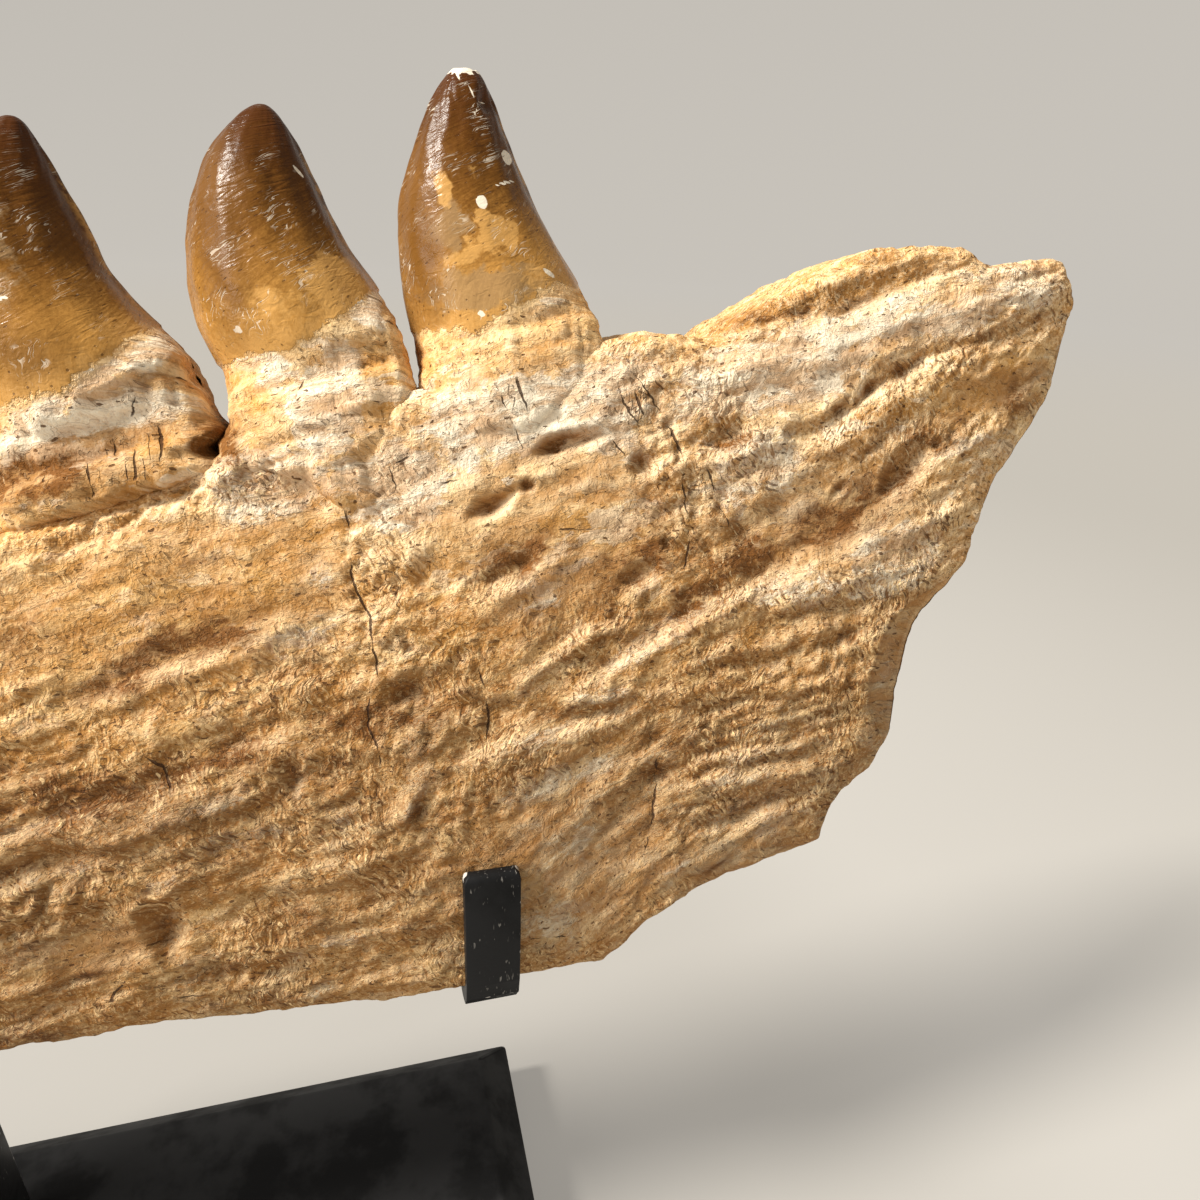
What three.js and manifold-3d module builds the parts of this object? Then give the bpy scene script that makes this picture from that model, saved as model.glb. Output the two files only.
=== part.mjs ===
// A fossil mosasaur jaw (rear half of a lower jaw bone, with its teeth) on a black display stand.
// Millimetres, +Z up. +X runs along the jaw to its torn rear end, and -Y is its outer, cheek side.
// The origin is the middle of the base's underside.
import * as THREE from 'three';
import { mergeVertices } from 'three/addons/utils/BufferGeometryUtils.js';
import Module from 'manifold-3d';

const wasm = await Module();
wasm.setup();

// ---- Driving dimensions, mm ----
const GAP = 0.35; // clearance between pieces that touch

const BASE = { length: 246, depth: 80, height: 22, bevel: 8.6 };
const BAR = 10; // side of the square bar of the post and the cross bar
const BAR_Y = 13.4; // how far behind the base's middle the bar stands
const CROSS_BAR = { length: 230, bottom: 98 };
const CLIP = { x: 110, width: 10, thickness: 3, frontRise: 31, backRise: 64 };

// The jaw leans back against its clips. Its own axes are X, V (up the lean) and W (towards the back).
const LEAN = THREE.MathUtils.degToRad(12);
const JAW_FOOT = new THREE.Vector3(0, -7.2, 104.5); // the point where V and W are 0

// Upper edge of the bone, [x, v], from the front break to the tip of the torn rear end.
const TOP_EDGE = [
  [-126, 57], [-122, 59], [-110, 61.5], [-90, 65], [-60, 70], [-30, 76], [0, 82.5], [25, 89],
  [38, 92.5], [53, 97.5], [69, 102.5], [73, 105], [102, 113.5], [133, 121.5], [139, 123.5],
  [144, 122.5], [154, 123], [157, 125.5], [165, 130], [173, 134], [183, 137.5], [193, 138.5],
  [200, 138.5], [204.5, 136.5], [212.5, 136], [218, 137], [225.5, 137.5], [228, 133.5],
  [230, 128.5],
];
// Lower edge, [x, v]. From x = 133 on it is the ragged break, which climbs in steps.
const BOTTOM_EDGE = [
  [-126, 8], [-120, 3], [-114, 1.4], [-104, 1.2], [-85, 2.4], [-60, 4.4], [-20, 5.7], [28, 5.2],
  [55, 4.2], [84, 1.7], [100, 1], [124, 0.8], [133, 0.8], [138, 4.5], [142, 9], [148, 13.5],
  [155, 16], [164, 17.8], [173, 19.8], [180.5, 21.5], [182, 28], [184.5, 32], [190.5, 36],
  [193, 39.5], [195.5, 44], [196.5, 54], [198.5, 62], [200, 67.5], [203, 71], [207.5, 74.5],
  [210.5, 79], [213, 89], [215.5, 95], [219, 99.5], [223.5, 105.5], [227, 110.5], [228.5, 116],
  [230, 126.5],
];
const STATION_STEP = 9; // longest stretch of bone between two cross-sections

// Half thickness of the bone along its length, [x, mm].
const HALF_THICKNESS = [
  [-126, 14.5], [-114, 16.2], [-60, 16.2], [0, 16.4], [110, 16.6], [135, 16.2], [160, 15.4],
  [190, 14.2], [215, 12], [230, 8],
];
// How full a cross-section is, [distance from its edge in mm, share of the half thickness].
const LOWER_FULLNESS = [
  [0, 0.3], [1, 0.46], [3, 0.58], [6, 0.65], [9, 0.69], [18, 0.8], [33, 0.93], [50, 1],
];
const TORN_FULLNESS = [[0, 0.5], [1, 0.62], [3, 0.76], [9, 0.9], [18, 0.96], [33, 1]];
const TORN_SPAN = [133, 150]; // where along X the rounded lower margin gives way to the break
const UPPER_FULLNESS = [[0, 0.72], [1.5, 0.86], [6, 0.93], [20, 0.97], [40, 1]];

// Teeth from the rear to the front. The tip is [x, v]; a profile ring is
// [drop below the tip, reach towards the front, reach towards the rear].
const TOOTH_SIDES = 14;
const TOOTH_DEPTH_RATIO = 0.8; // thickness across the jaw over width along it
const TOOTH_DEPTH_LIMIT = 12.6; // half thickness of the thickest root
const REAR_TOOTH = [
  [0.8, 1.8, 2.6], [4, 4, 4.4], [8.5, 6.2, 5.8], [14, 8.4, 8], [20, 10.3, 10.6],
  [27, 10.9, 14.9], [33, 10.6, 18.8], [40, 9.6, 20.6], [44.5, 9.2, 20.8], [60, 9.2, 20.4],
];
const MIDDLE_TOOTH = [
  [0.8, 2.2, 1.6], [4, 5.6, 3.6], [8.5, 8.8, 5.5], [14, 11, 7.9], [20, 12.3, 10.6],
  [26.5, 12.8, 15.3], [33, 11.8, 18.6], [38, 10.2, 19.4], [41, 9.8, 19.4], [58, 9.8, 19],
];
const THIRD_TOOTH = [
  [0.8, 2, 1.6], [4, 5.6, 3.2], [8.5, 8.8, 5], [14, 11, 7.2], [20, 12.2, 9.2],
  [26.5, 12.6, 14], [31, 12, 18.6], [37, 10.5, 20.6], [44, 8.6, 22.2], [60, 8, 22],
];
const TEETH = [
  { name: 'tooth_1', tip: [112.2, 162.8], profile: REAR_TOOTH, size: 1 },
  { name: 'tooth_2', tip: [82.1, 155.2], profile: MIDDLE_TOOTH, size: 1 },
  { name: 'tooth_3', tip: [48.5, 151.3], profile: THIRD_TOOTH, size: 1 },
  { name: 'tooth_4', tip: [21, 123], profile: MIDDLE_TOOTH, size: 0.86 },
  { name: 'tooth_5', tip: [-8, 127.5], profile: MIDDLE_TOOTH, size: 0.88 },
  { name: 'tooth_6', tip: [-36.5, 118.5], profile: MIDDLE_TOOTH, size: 0.83 },
  { name: 'tooth_7', tip: [-63, 109.5], profile: MIDDLE_TOOTH, size: 0.77 },
  { name: 'tooth_8', tip: [-87.5, 101], profile: MIDDLE_TOOTH, size: 0.71 },
];

// ---- Materials ----
const boneMaterial = new THREE.MeshStandardMaterial({ color: 0xcfa56e, roughness: 0.85, metalness: 0 });
const toothMaterial = new THREE.MeshStandardMaterial({ color: 0x8a5a2c, roughness: 0.25, metalness: 0 });
const steelMaterial = new THREE.MeshStandardMaterial({ color: 0x1a1a1b, roughness: 0.5, metalness: 0.2 });
const baseMaterial = new THREE.MeshStandardMaterial({ color: 0x2a2a2a, roughness: 0.75, metalness: 0 });

// ---- Helpers ----
/** Value of a list of [key, value] pairs at a key, straight between its points. */
function interpolate(pairs, key) {
  if (key <= pairs[0][0]) return pairs[0][1];
  for (let i = 1; i < pairs.length; i += 1) {
    const [k0, v0] = pairs[i - 1];
    const [k1, v1] = pairs[i];
    if (key <= k1) return v0 + ((v1 - v0) * (key - k0)) / (k1 - k0);
  }
  return pairs[pairs.length - 1][1];
}

/** Closed body through rings of equally many points, with a fan over each end ring. */
function loft(rings, firstPole, lastPole) {
  const sides = rings[0].length;
  const points = [...rings.flat(), firstPole, lastPole];
  const firstIndex = rings.length * sides;
  const lastIndex = firstIndex + 1;
  const lastRing = (rings.length - 1) * sides;
  const faces = [];
  for (let side = 0; side < sides; side += 1) {
    const next = (side + 1) % sides;
    faces.push(firstIndex, next, side);
    faces.push(lastIndex, lastRing + side, lastRing + next);
    for (let start = 0; start < lastRing; start += sides) {
      faces.push(start + side, start + next, start + sides + side);
      faces.push(start + next, start + sides + next, start + sides + side);
    }
  }
  const geometry = new THREE.BufferGeometry();
  geometry.setAttribute('position', new THREE.Float32BufferAttribute(points.flat(), 3));
  geometry.setIndex(faces);
  return geometry;
}

/** A manifold solid from a closed geometry. */
function toSolid(geometry) {
  const bare = geometry.clone();
  bare.deleteAttribute('normal');
  bare.deleteAttribute('uv');
  const merged = mergeVertices(bare, 1e-4);
  return new wasm.Manifold(new wasm.Mesh({
    numProp: 3,
    vertProperties: new Float32Array(merged.attributes.position.array),
    triVerts: new Uint32Array(merged.index.array),
  }));
}

/** A geometry from a manifold solid. */
function toGeometry(solid) {
  const mesh = solid.getMesh();
  const geometry = new THREE.BufferGeometry();
  geometry.setAttribute('position', new THREE.BufferAttribute(mesh.vertProperties, 3));
  geometry.setIndex(new THREE.BufferAttribute(mesh.triVerts, 1));
  geometry.computeVertexNormals();
  return geometry;
}

function namedMesh(name, geometry, material) {
  const mesh = new THREE.Mesh(geometry, material);
  mesh.name = name;
  return mesh;
}

// ---- The bone ----
/** Half thickness of the bone at x and height v. */
function halfThickness(x, v) {
  const rise = v - interpolate(BOTTOM_EDGE, x);
  const drop = interpolate(TOP_EDGE, x) - v;
  const torn = THREE.MathUtils.smoothstep(x, ...TORN_SPAN);
  const lower = THREE.MathUtils.lerp(
    interpolate(LOWER_FULLNESS, rise), interpolate(TORN_FULLNESS, rise), torn,
  );
  const fullness = Math.min(lower, interpolate(UPPER_FULLNESS, drop));
  return interpolate(HALF_THICKNESS, x) * fullness;
}

/** Heights of the points up one side of a cross-section, closer together at its edges. */
function sectionHeights(x) {
  const low = interpolate(BOTTOM_EDGE, x);
  const high = interpolate(TOP_EDGE, x);
  const height = high - low;
  const edge = Math.min(1, height / 70);
  const fromBottom = [0, 1, 3, 9, 18, 33].map((rise) => low + rise * edge);
  const fromTop = [20, 6, 1.5, 0].map((drop) => high - drop * edge);
  return [...fromBottom, low + height * 0.6, ...fromTop];
}

/** One closed cross-section of the bone: up its inner side and down its outer side. */
function boneRing(x) {
  const heights = sectionHeights(x);
  const inner = heights.map((v) => [x, halfThickness(x, v), v]);
  const outer = heights.map((v) => [x, -halfThickness(x, v), v]).reverse();
  return [...inner, ...outer];
}

/** Places along the jaw where the bone has a cross-section: every bend of its edges, and between. */
function boneStations() {
  const bends = [...TOP_EDGE, ...BOTTOM_EDGE].map(([x]) => x).sort((a, b) => a - b);
  const stations = [bends[0]];
  for (const x of bends) {
    const last = stations[stations.length - 1];
    const parts = Math.ceil((x - last) / STATION_STEP);
    for (let i = 1; i < parts; i += 1) stations.push(last + ((x - last) * i) / parts);
    if (x - last > 0.9) stations.push(x);
  }
  return stations;
}

function makeBone() {
  const rings = boneStations().map(boneRing);
  const first = rings[0];
  const last = rings[rings.length - 1];
  const poleOf = (ring) => {
    const sum = ring.reduce((total, point) => total.map((value, axis) => value + point[axis]), [0, 0, 0]);
    return sum.map((value) => value / ring.length);
  };
  return loft(rings, poleOf(first), poleOf(last));
}

// ---- The teeth ----
/** A crown on its bony root, as one body. growth widens it all over, for cutting its socket. */
function makeTooth({ tip, profile, size }, growth = 0) {
  const [tipX, tipV] = tip;
  const rings = profile.map(([drop, front, rear]) => {
    const halfWidth = ((front + rear) / 2) * size + growth;
    const middleX = tipX + ((rear - front) / 2) * size;
    const halfDepth = Math.min(halfWidth * TOOTH_DEPTH_RATIO, TOOTH_DEPTH_LIMIT * size) + growth;
    const v = tipV - drop * size;
    return Array.from({ length: TOOTH_SIDES }, (_, side) => {
      const angle = (2 * Math.PI * side) / TOOTH_SIDES;
      return [middleX + halfWidth * Math.cos(angle), halfDepth * Math.sin(angle), v];
    });
  }).reverse();
  const [rootDrop, rootFront, rootRear] = profile[profile.length - 1];
  for (const point of rings[0]) point[2] -= growth;
  const rootX = tipX + ((rootRear - rootFront) / 2) * size;
  const rootPole = [rootX, 0, tipV - rootDrop * size - growth];
  return loft(rings, rootPole, [tipX, 0, tipV + growth]);
}

// ---- The stand ----
/** A flat strip bent round the bone's lower edge: a short lip in front and a long arm behind. */
function makeClip(x) {
  const low = Math.min(...[-0.5, 0, 0.5].map((side) => interpolate(BOTTOM_EDGE, x + side * CLIP.width)));
  const half = Math.max(...[-0.5, 0, 0.5].map((side) => interpolate(HALF_THICKNESS, x + side * CLIP.width)));
  const bend = LOWER_FULLNESS.map(([rise, fullness]) => [half * fullness, low + rise]);
  const frontTop = [half * interpolate(LOWER_FULLNESS, CLIP.frontRise), low + CLIP.frontRise];
  const backTop = [half, low + CLIP.backRise];
  const front = [frontTop, ...bend.filter(([, v]) => v < frontTop[1] - 1).reverse()];
  const back = [...bend.filter(([, v]) => v < backTop[1] - 1), backTop];
  const path = [...front.map(([w, v]) => new THREE.Vector2(-w, v)),
    ...back.map(([w, v]) => new THREE.Vector2(w, v))];
  const outline = [...offsetPath(path, GAP), ...offsetPath(path, GAP + CLIP.thickness).reverse()];
  const geometry = new THREE.ExtrudeGeometry(new THREE.Shape(outline), {
    depth: CLIP.width, bevelEnabled: false, steps: 1,
  });
  // The strip's outline lies in W and V, and its width runs along X.
  const axes = new THREE.Matrix4().makeBasis(
    new THREE.Vector3(0, 1, 0), new THREE.Vector3(0, 0, 1), new THREE.Vector3(1, 0, 0));
  return geometry.applyMatrix4(axes).translate(x - CLIP.width / 2, 0, 0);
}

/** A path moved outwards, away from the bone, by a distance. */
function offsetPath(path, distance) {
  return path.map((point, i) => {
    const before = path[Math.max(i - 1, 0)];
    const after = path[Math.min(i + 1, path.length - 1)];
    const into = point.clone().sub(before);
    const out = after.clone().sub(point);
    const tangent = into.normalize().add(out.normalize()).normalize();
    const outward = new THREE.Vector2(tangent.y, -tangent.x).negate();
    const bendShare = i > 0 && i < path.length - 1 ? Math.abs(tangent.dot(out)) : 1;
    return point.clone().addScaledVector(outward, -distance / bendShare);
  });
}

/** A low block with a bevel round its upper edges. */
function makeBase() {
  const { length, depth, height, bevel } = BASE;
  const corners = [[-1, -1], [1, -1], [1, 1], [-1, 1]];
  const ring = (inset, z) => corners.map(
    ([sx, sy]) => [sx * (length / 2 - inset), sy * (depth / 2 - inset), z]);
  const rings = [ring(0, 0), ring(0, height - bevel), ring(bevel, height)];
  return loft(rings, [0, 0, 0], [0, 0, height]);
}

// ---- Assembly ----
const bottomOfBar = CROSS_BAR.bottom;
const postHeight = bottomOfBar - BASE.height - 2 * GAP;

const jaw = new THREE.Group();
jaw.position.copy(JAW_FOOT);
jaw.rotation.x = -LEAN;

const boneBlank = toSolid(makeBone());
const sockets = TEETH.map((tooth) => toSolid(makeTooth(tooth, GAP)));
const bone = sockets.reduce((solid, socket) => solid.subtract(socket), boneBlank);
jaw.add(namedMesh('jaw_bone', toGeometry(bone), boneMaterial));
for (const tooth of TEETH) {
  jaw.add(namedMesh(tooth.name, makeTooth(tooth), toothMaterial));
}
jaw.add(namedMesh('clip_rear', makeClip(CLIP.x), steelMaterial));
jaw.add(namedMesh('clip_front', makeClip(-CLIP.x), steelMaterial));

const base = namedMesh('base', makeBase(), baseMaterial);

const post = namedMesh('post', new THREE.BoxGeometry(BAR, BAR, postHeight), steelMaterial);
post.position.set(0, BAR_Y, BASE.height + GAP + postHeight / 2);

const crossBar = namedMesh('cross_bar', new THREE.BoxGeometry(CROSS_BAR.length, BAR, BAR), steelMaterial);
crossBar.position.set(0, BAR_Y, bottomOfBar + BAR / 2);

const group = new THREE.Group();
group.add(jaw, base, post, crossBar);

export default group;
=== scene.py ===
"""The looks of a fossil mosasaur jaw on its black stand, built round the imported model.

The jaw has its own axes, in millimetres: X along it towards the torn rear end, V up its lean, and W towards
its inner side. The outer face is the one at negative W. Everything is placed in metres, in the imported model's
frame.
"""

import logging
import math
from dataclasses import dataclass, field
from enum import Enum

import bpy
import numpy as np
from mathutils import Matrix, Vector


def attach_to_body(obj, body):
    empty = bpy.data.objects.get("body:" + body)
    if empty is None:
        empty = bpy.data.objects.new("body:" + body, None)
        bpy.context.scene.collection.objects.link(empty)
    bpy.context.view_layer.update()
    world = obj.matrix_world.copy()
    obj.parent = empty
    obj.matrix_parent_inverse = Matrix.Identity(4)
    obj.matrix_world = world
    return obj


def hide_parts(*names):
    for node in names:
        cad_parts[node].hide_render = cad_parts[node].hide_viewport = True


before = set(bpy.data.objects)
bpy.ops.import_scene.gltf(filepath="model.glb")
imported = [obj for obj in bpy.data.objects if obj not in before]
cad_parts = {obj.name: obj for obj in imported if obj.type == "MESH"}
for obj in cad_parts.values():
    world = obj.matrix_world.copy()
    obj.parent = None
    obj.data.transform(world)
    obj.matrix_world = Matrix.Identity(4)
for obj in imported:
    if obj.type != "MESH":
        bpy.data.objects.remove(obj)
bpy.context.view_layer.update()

log = logging.getLogger("mosasaur_jaw")
MM = 0.001
FLAT_BAR = 3.0  # the thickness of the clips' flat bar
Path = tuple[tuple[float, float], ...]
Triple = tuple[float, float, float]
Colour = Triple
Grid = np.ndarray
Piece = bpy.types.Object
Socket = bpy.types.NodeSocket


# ---- Small tools ----
def between(pairs: Path, keys: Grid) -> Grid:
    """Values of a list of (key, value) pairs, straight between its points.

    Args:
        pairs: the list, in order of its keys.
        keys: where to read it.

    Returns:
        One value for each key.
    """
    table = np.array(pairs, float)
    return np.interp(keys, table[:, 0], table[:, 1])


def rounded(pairs: Path, keys: Grid, reach: float) -> Grid:
    """As between, with the bends of the list rounded off over a distance.

    Args:
        pairs: the list, in order of its keys.
        keys: where to read it.
        reach: half the distance over which a bend is rounded.

    Returns:
        One value for each key.
    """
    offsets = np.linspace(-reach, reach, 9)
    weights = np.cos(offsets / reach * math.pi / 2 * 0.9)
    total = sum(weight * between(pairs, keys + offset) for offset, weight in zip(offsets, weights))
    return total / weights.sum()


def ease(values: Grid, low: float, high: float) -> Grid:
    """A smooth ramp from 0 at low to 1 at high.

    Args:
        values: what the ramp reads.
        low: where it leaves 0.
        high: where it reaches 1.

    Returns:
        The ramp's values.
    """
    share = np.clip((values - low) / (high - low), 0.0, 1.0)
    return share * share * (3.0 - 2.0 * share)


def soften(values: Grid, passes: int) -> Grid:
    """A wrapped grid of values averaged with its neighbours.

    Args:
        values: the grid, with its first side repeated last.
        passes: how many times each cell is averaged with the cells beside it.

    Returns:
        The softened grid.
    """
    result = values.copy()
    for _ in range(passes):
        ends = np.concatenate([result[:1], result, result[-1:]])
        result = 0.5 * result + 0.25 * (ends[:-2] + ends[2:])
        looped = np.concatenate([result[:, -2:-1], result, result[:, 1:2]], axis=1)
        result = 0.5 * result + 0.25 * (looped[:, :-2] + looped[:, 2:])
    return result


class Noise:
    """Seeded smooth noise on a plane, about -1 to 1."""

    SIZE = 256

    def __init__(self, seed: int) -> None:
        """Draws the noise's lattice of slopes from its seed."""
        turns = np.random.default_rng(seed).random((self.SIZE, self.SIZE)) * 2.0 * math.pi
        self.slope_u = np.cos(turns)
        self.slope_v = np.sin(turns)

    def at(self, u: Grid, v: Grid) -> Grid:
        """The noise at places given in lattice cells.

        Args:
            u: first coordinate of each place.
            v: second coordinate of each place.

        Returns:
            One value for each place.
        """
        cell_u = np.floor(u).astype(int)
        cell_v = np.floor(v).astype(int)
        part_u = u - cell_u
        part_v = v - cell_v
        fade_u = part_u**3 * (part_u * (part_u * 6.0 - 15.0) + 10.0)
        fade_v = part_v**3 * (part_v * (part_v * 6.0 - 15.0) + 10.0)
        total = np.zeros_like(part_u)
        for step_u in (0, 1):
            for step_v in (0, 1):
                index = ((cell_u + step_u) % self.SIZE, (cell_v + step_v) % self.SIZE)
                dot = self.slope_u[index] * (part_u - step_u) + self.slope_v[index] * (part_v - step_v)
                share_u = fade_u if step_u else 1.0 - fade_u
                share_v = fade_v if step_v else 1.0 - fade_v
                total += share_u * share_v * dot
        return total * 1.55

    def layered(self, u: Grid, v: Grid, layers: int) -> Grid:
        """Several layers of the noise, each half as large and half as strong as the last."""
        total = np.zeros_like(u)
        for layer in range(layers):
            factor = 2.0**layer
            total += self.at(u * factor + 17.3 * layer, v * factor + 5.1 * layer) / factor
        return total


# ---- The jaw's own axes ----
@dataclass(frozen=True)
class JawAxes:
    """Where the leaning jaw stands, in mm."""

    lean: float = math.radians(12.0)
    foot_y: float = -7.2
    foot_z: float = 104.5

    def place(self, x: Grid, v: Grid, w: Grid) -> Grid:
        """Points of the jaw as points of the frame.

        Args:
            x: distance along the jaw.
            v: height up the lean.
            w: distance towards the inner side.

        Returns:
            The points in metres, with X, Y and Z last.
        """
        y = self.foot_y + v * math.sin(self.lean) + w * math.cos(self.lean)
        z = self.foot_z + v * math.cos(self.lean) - w * math.sin(self.lean)
        return np.stack([x, y, z], axis=-1) * MM


AXES = JawAxes()


def lean_back(v: Grid) -> Grid:
    """The share of its half thickness that the outer face keeps at each height: it slopes back a little."""
    return 1.0 - 0.17 * ease(v, 40.0, 130.0)


# ---- Making meshes ----
def select_only(piece: Piece) -> None:
    """Selects one object, and nothing else."""
    bpy.ops.object.select_all(action="DESELECT")
    piece.select_set(True)
    bpy.context.view_layer.objects.active = piece


def wrapped_sheet(name: str, points: Grid, values: dict[str, Grid]) -> Piece:
    """A closed body from a grid that is wrapped round on itself and gathered at both ends.

    Args:
        name: the new piece's name.
        points: the grid's points in metres, shaped (rings, sides + 1, 3), first side repeated last.
        values: numbers for the piece's materials, each (rings, sides + 1) or with 3 numbers a point.

    Returns:
        The piece, smooth shaded.
    """
    rings, sides = points.shape[:2]
    bpy.ops.object.select_all(action="DESELECT")
    bpy.ops.mesh.primitive_grid_add(x_subdivisions=rings - 1, y_subdivisions=sides - 1, size=1.0)
    piece = bpy.context.active_object
    piece.name = name
    mesh = piece.data
    flat = np.zeros(len(mesh.vertices) * 3)
    mesh.vertices.foreach_get("co", flat)
    lattice = flat.reshape(-1, 3)
    ring_index = np.rint((lattice[:, 0] + 0.5) * (rings - 1)).astype(int)
    side_index = np.rint((lattice[:, 1] + 0.5) * (sides - 1)).astype(int)
    mesh.vertices.foreach_set("co", points[ring_index, side_index].ravel())
    for key, grid in values.items():
        if grid.ndim == 3:
            layer = mesh.attributes.new(key, "FLOAT_VECTOR", "POINT")
            layer.data.foreach_set("vector", grid[ring_index, side_index].ravel())
        else:
            layer = mesh.attributes.new(key, "FLOAT", "POINT")
            layer.data.foreach_set("value", grid[ring_index, side_index].ravel())
    mesh.update()
    close_up(piece)
    return piece


def close_up(piece: Piece) -> None:
    """Merges a piece's coincident points, turns its faces outwards and shades it smooth."""
    select_only(piece)
    bpy.ops.object.mode_set(mode="EDIT")
    bpy.ops.mesh.select_all(action="SELECT")
    bpy.ops.mesh.remove_doubles(threshold=1e-6)
    bpy.ops.mesh.normals_make_consistent(inside=False)
    bpy.ops.object.mode_set(mode="OBJECT")
    bpy.ops.object.shade_smooth()


def surface_normals(points: Grid) -> Grid:
    """Directions straight out of a wrapped grid of points.

    Args:
        points: the grid, shaped (rings, sides + 1, 3), first side repeated last.

    Returns:
        A unit vector for each point.
    """
    along = np.gradient(points, axis=0)
    looped = np.concatenate([points[:, -2:-1], points, points[:, 1:2]], axis=1)
    around = looped[:, 2:] - looped[:, :-2]
    normals = np.cross(along, around)
    lengths = np.linalg.norm(normals, axis=-1, keepdims=True)
    return normals / np.maximum(lengths, 1e-12)


# ---- Marks on the bone ----
@dataclass(frozen=True)
class Stroke:
    """A ridge or a groove along a path on the outer face, in mm.

    rise is how far its crest stands out, or how deep it is if negative. above and below are the widths over
    which it dies out on its two sides, and fade is the share of its length over which each end does.
    """

    path: Path
    rise: float
    above: float
    below: float
    fade: float = 0.3

    CREST_UNDER = 0.45  # the path follows the upper flank: the crest lies this share of above under it

    def raised(self, x: Grid, v: Grid) -> Grid:
        """How far the stroke raises each place, in mm."""
        nearest, along = self.nearest(x, v)
        nearest = nearest + self.CREST_UNDER * self.above
        width = np.where(nearest > 0, self.above, self.below)
        ends = ease(np.minimum(along, 1.0 - along), -0.02, self.fade)
        return self.rise * ends * np.exp(-(np.abs(nearest / width) ** 1.45))

    def nearest(self, x: Grid, v: Grid) -> tuple[Grid, Grid]:
        """The signed distance to the path, over it positive, and the share of the path's length there."""
        points = np.array(self.path, float)
        steps = np.linalg.norm(np.diff(points, axis=0), axis=1)
        starts = np.concatenate([[0.0], np.cumsum(steps)])
        best = np.full(x.shape, 1e9)
        signed = np.full(x.shape, 1e9)
        along = np.zeros(x.shape)
        for (x0, v0), (x1, v1), step, start in zip(points[:-1], points[1:], steps, starts):
            ux, uv = (x1 - x0) / step, (v1 - v0) / step
            reach = np.clip((x - x0) * ux + (v - v0) * uv, 0.0, step)
            off_x = x - x0 - reach * ux
            off_v = v - v0 - reach * uv
            distance = np.hypot(off_x, off_v)
            closer = distance < best
            side = np.where(ux * (v - v0) - uv * (x - x0) > 0, 1.0, -1.0)
            best = np.where(closer, distance, best)
            signed = np.where(closer, distance * side, signed)
            along = np.where(closer, (start + reach) / starts[-1], along)
        return signed, along

    def box(self) -> tuple[float, float, float, float]:
        """Least and greatest x and v that the stroke reaches."""
        points = np.array(self.path, float)
        margin = 2.6 * max(self.above, self.below)
        low = points.min(axis=0) - margin
        high = points.max(axis=0) + margin
        return low[0], high[0], low[1], high[1]


@dataclass(frozen=True)
class Hollow:
    """An oval pit in the outer face, in mm, turned by an angle in degrees, with a rim that stands out."""

    centre: tuple[float, float]
    length: float
    width: float
    turn: float
    depth: float = 1.0
    rim: float = 0.0

    def radius(self, x: Grid, v: Grid) -> Grid:
        """Distance from the middle, 1 on the pit's edge."""
        turn = math.radians(self.turn)
        off_x = x - self.centre[0]
        off_v = v - self.centre[1]
        along = (off_x * math.cos(turn) + off_v * math.sin(turn)) / (self.length / 2)
        across = (off_v * math.cos(turn) - off_x * math.sin(turn)) / (self.width / 2)
        return np.hypot(along, across)

    def raised(self, x: Grid, v: Grid) -> Grid:
        """How far the pit raises each place, in mm: negative inside it."""
        radius = self.radius(x, v)
        bowl = np.exp(-(radius**3) * 1.1)
        lip = np.exp(-(((radius - 1.25) / 0.35) ** 2))
        return self.rim * lip - self.depth * bowl

    def box(self) -> tuple[float, float, float, float]:
        """Least and greatest x and v that the pit reaches."""
        margin = max(self.length, self.width)
        x, v = self.centre
        return x - margin, x + margin, v - margin, v + margin


def strokes(*rows: tuple) -> tuple[Stroke, ...]:
    """Strokes, each from its path, rise, widths above and below it, and fade."""
    return tuple(Stroke(*row) for row in rows)


def hollows(*rows: tuple[float, ...]) -> tuple[Hollow, ...]:
    """Hollows, each from its x, v, length, width, turn, depth and rim."""
    return tuple(Hollow(row[:2], *row[2:]) for row in rows)


class Tint(Enum):
    """The colours that stain the bone."""

    PALE = "pale"
    BROWN = "brown"
    ORANGE = "orange"
    GREY = "grey"


@dataclass(frozen=True)
class Stain:
    """A soft-edged oval of one tint on the outer face, in mm, turned by an angle in degrees."""

    tint: Tint
    centre: tuple[float, float]
    length: float
    width: float
    turn: float
    strength: float = 1.0


def stains(tint: Tint, *rows: tuple[float, ...]) -> tuple[Stain, ...]:
    """Stains of one tint, each from its x, v, length, width, turn and strength."""
    return tuple(Stain(tint, row[:2], *row[2:]) for row in rows)


def mark_all(marks: tuple, x: Grid, v: Grid) -> Grid:
    """The summed rise of many strokes and hollows in mm, each worked out only where it reaches."""
    total = np.zeros(x.shape)
    for mark in marks:
        low_x, high_x, low_v, high_v = mark.box()
        near = (x > low_x) & (x < high_x) & (v > low_v) & (v < high_v)
        if near.any():
            total[near] += mark.raised(x[near], v[near])
    return total


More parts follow.
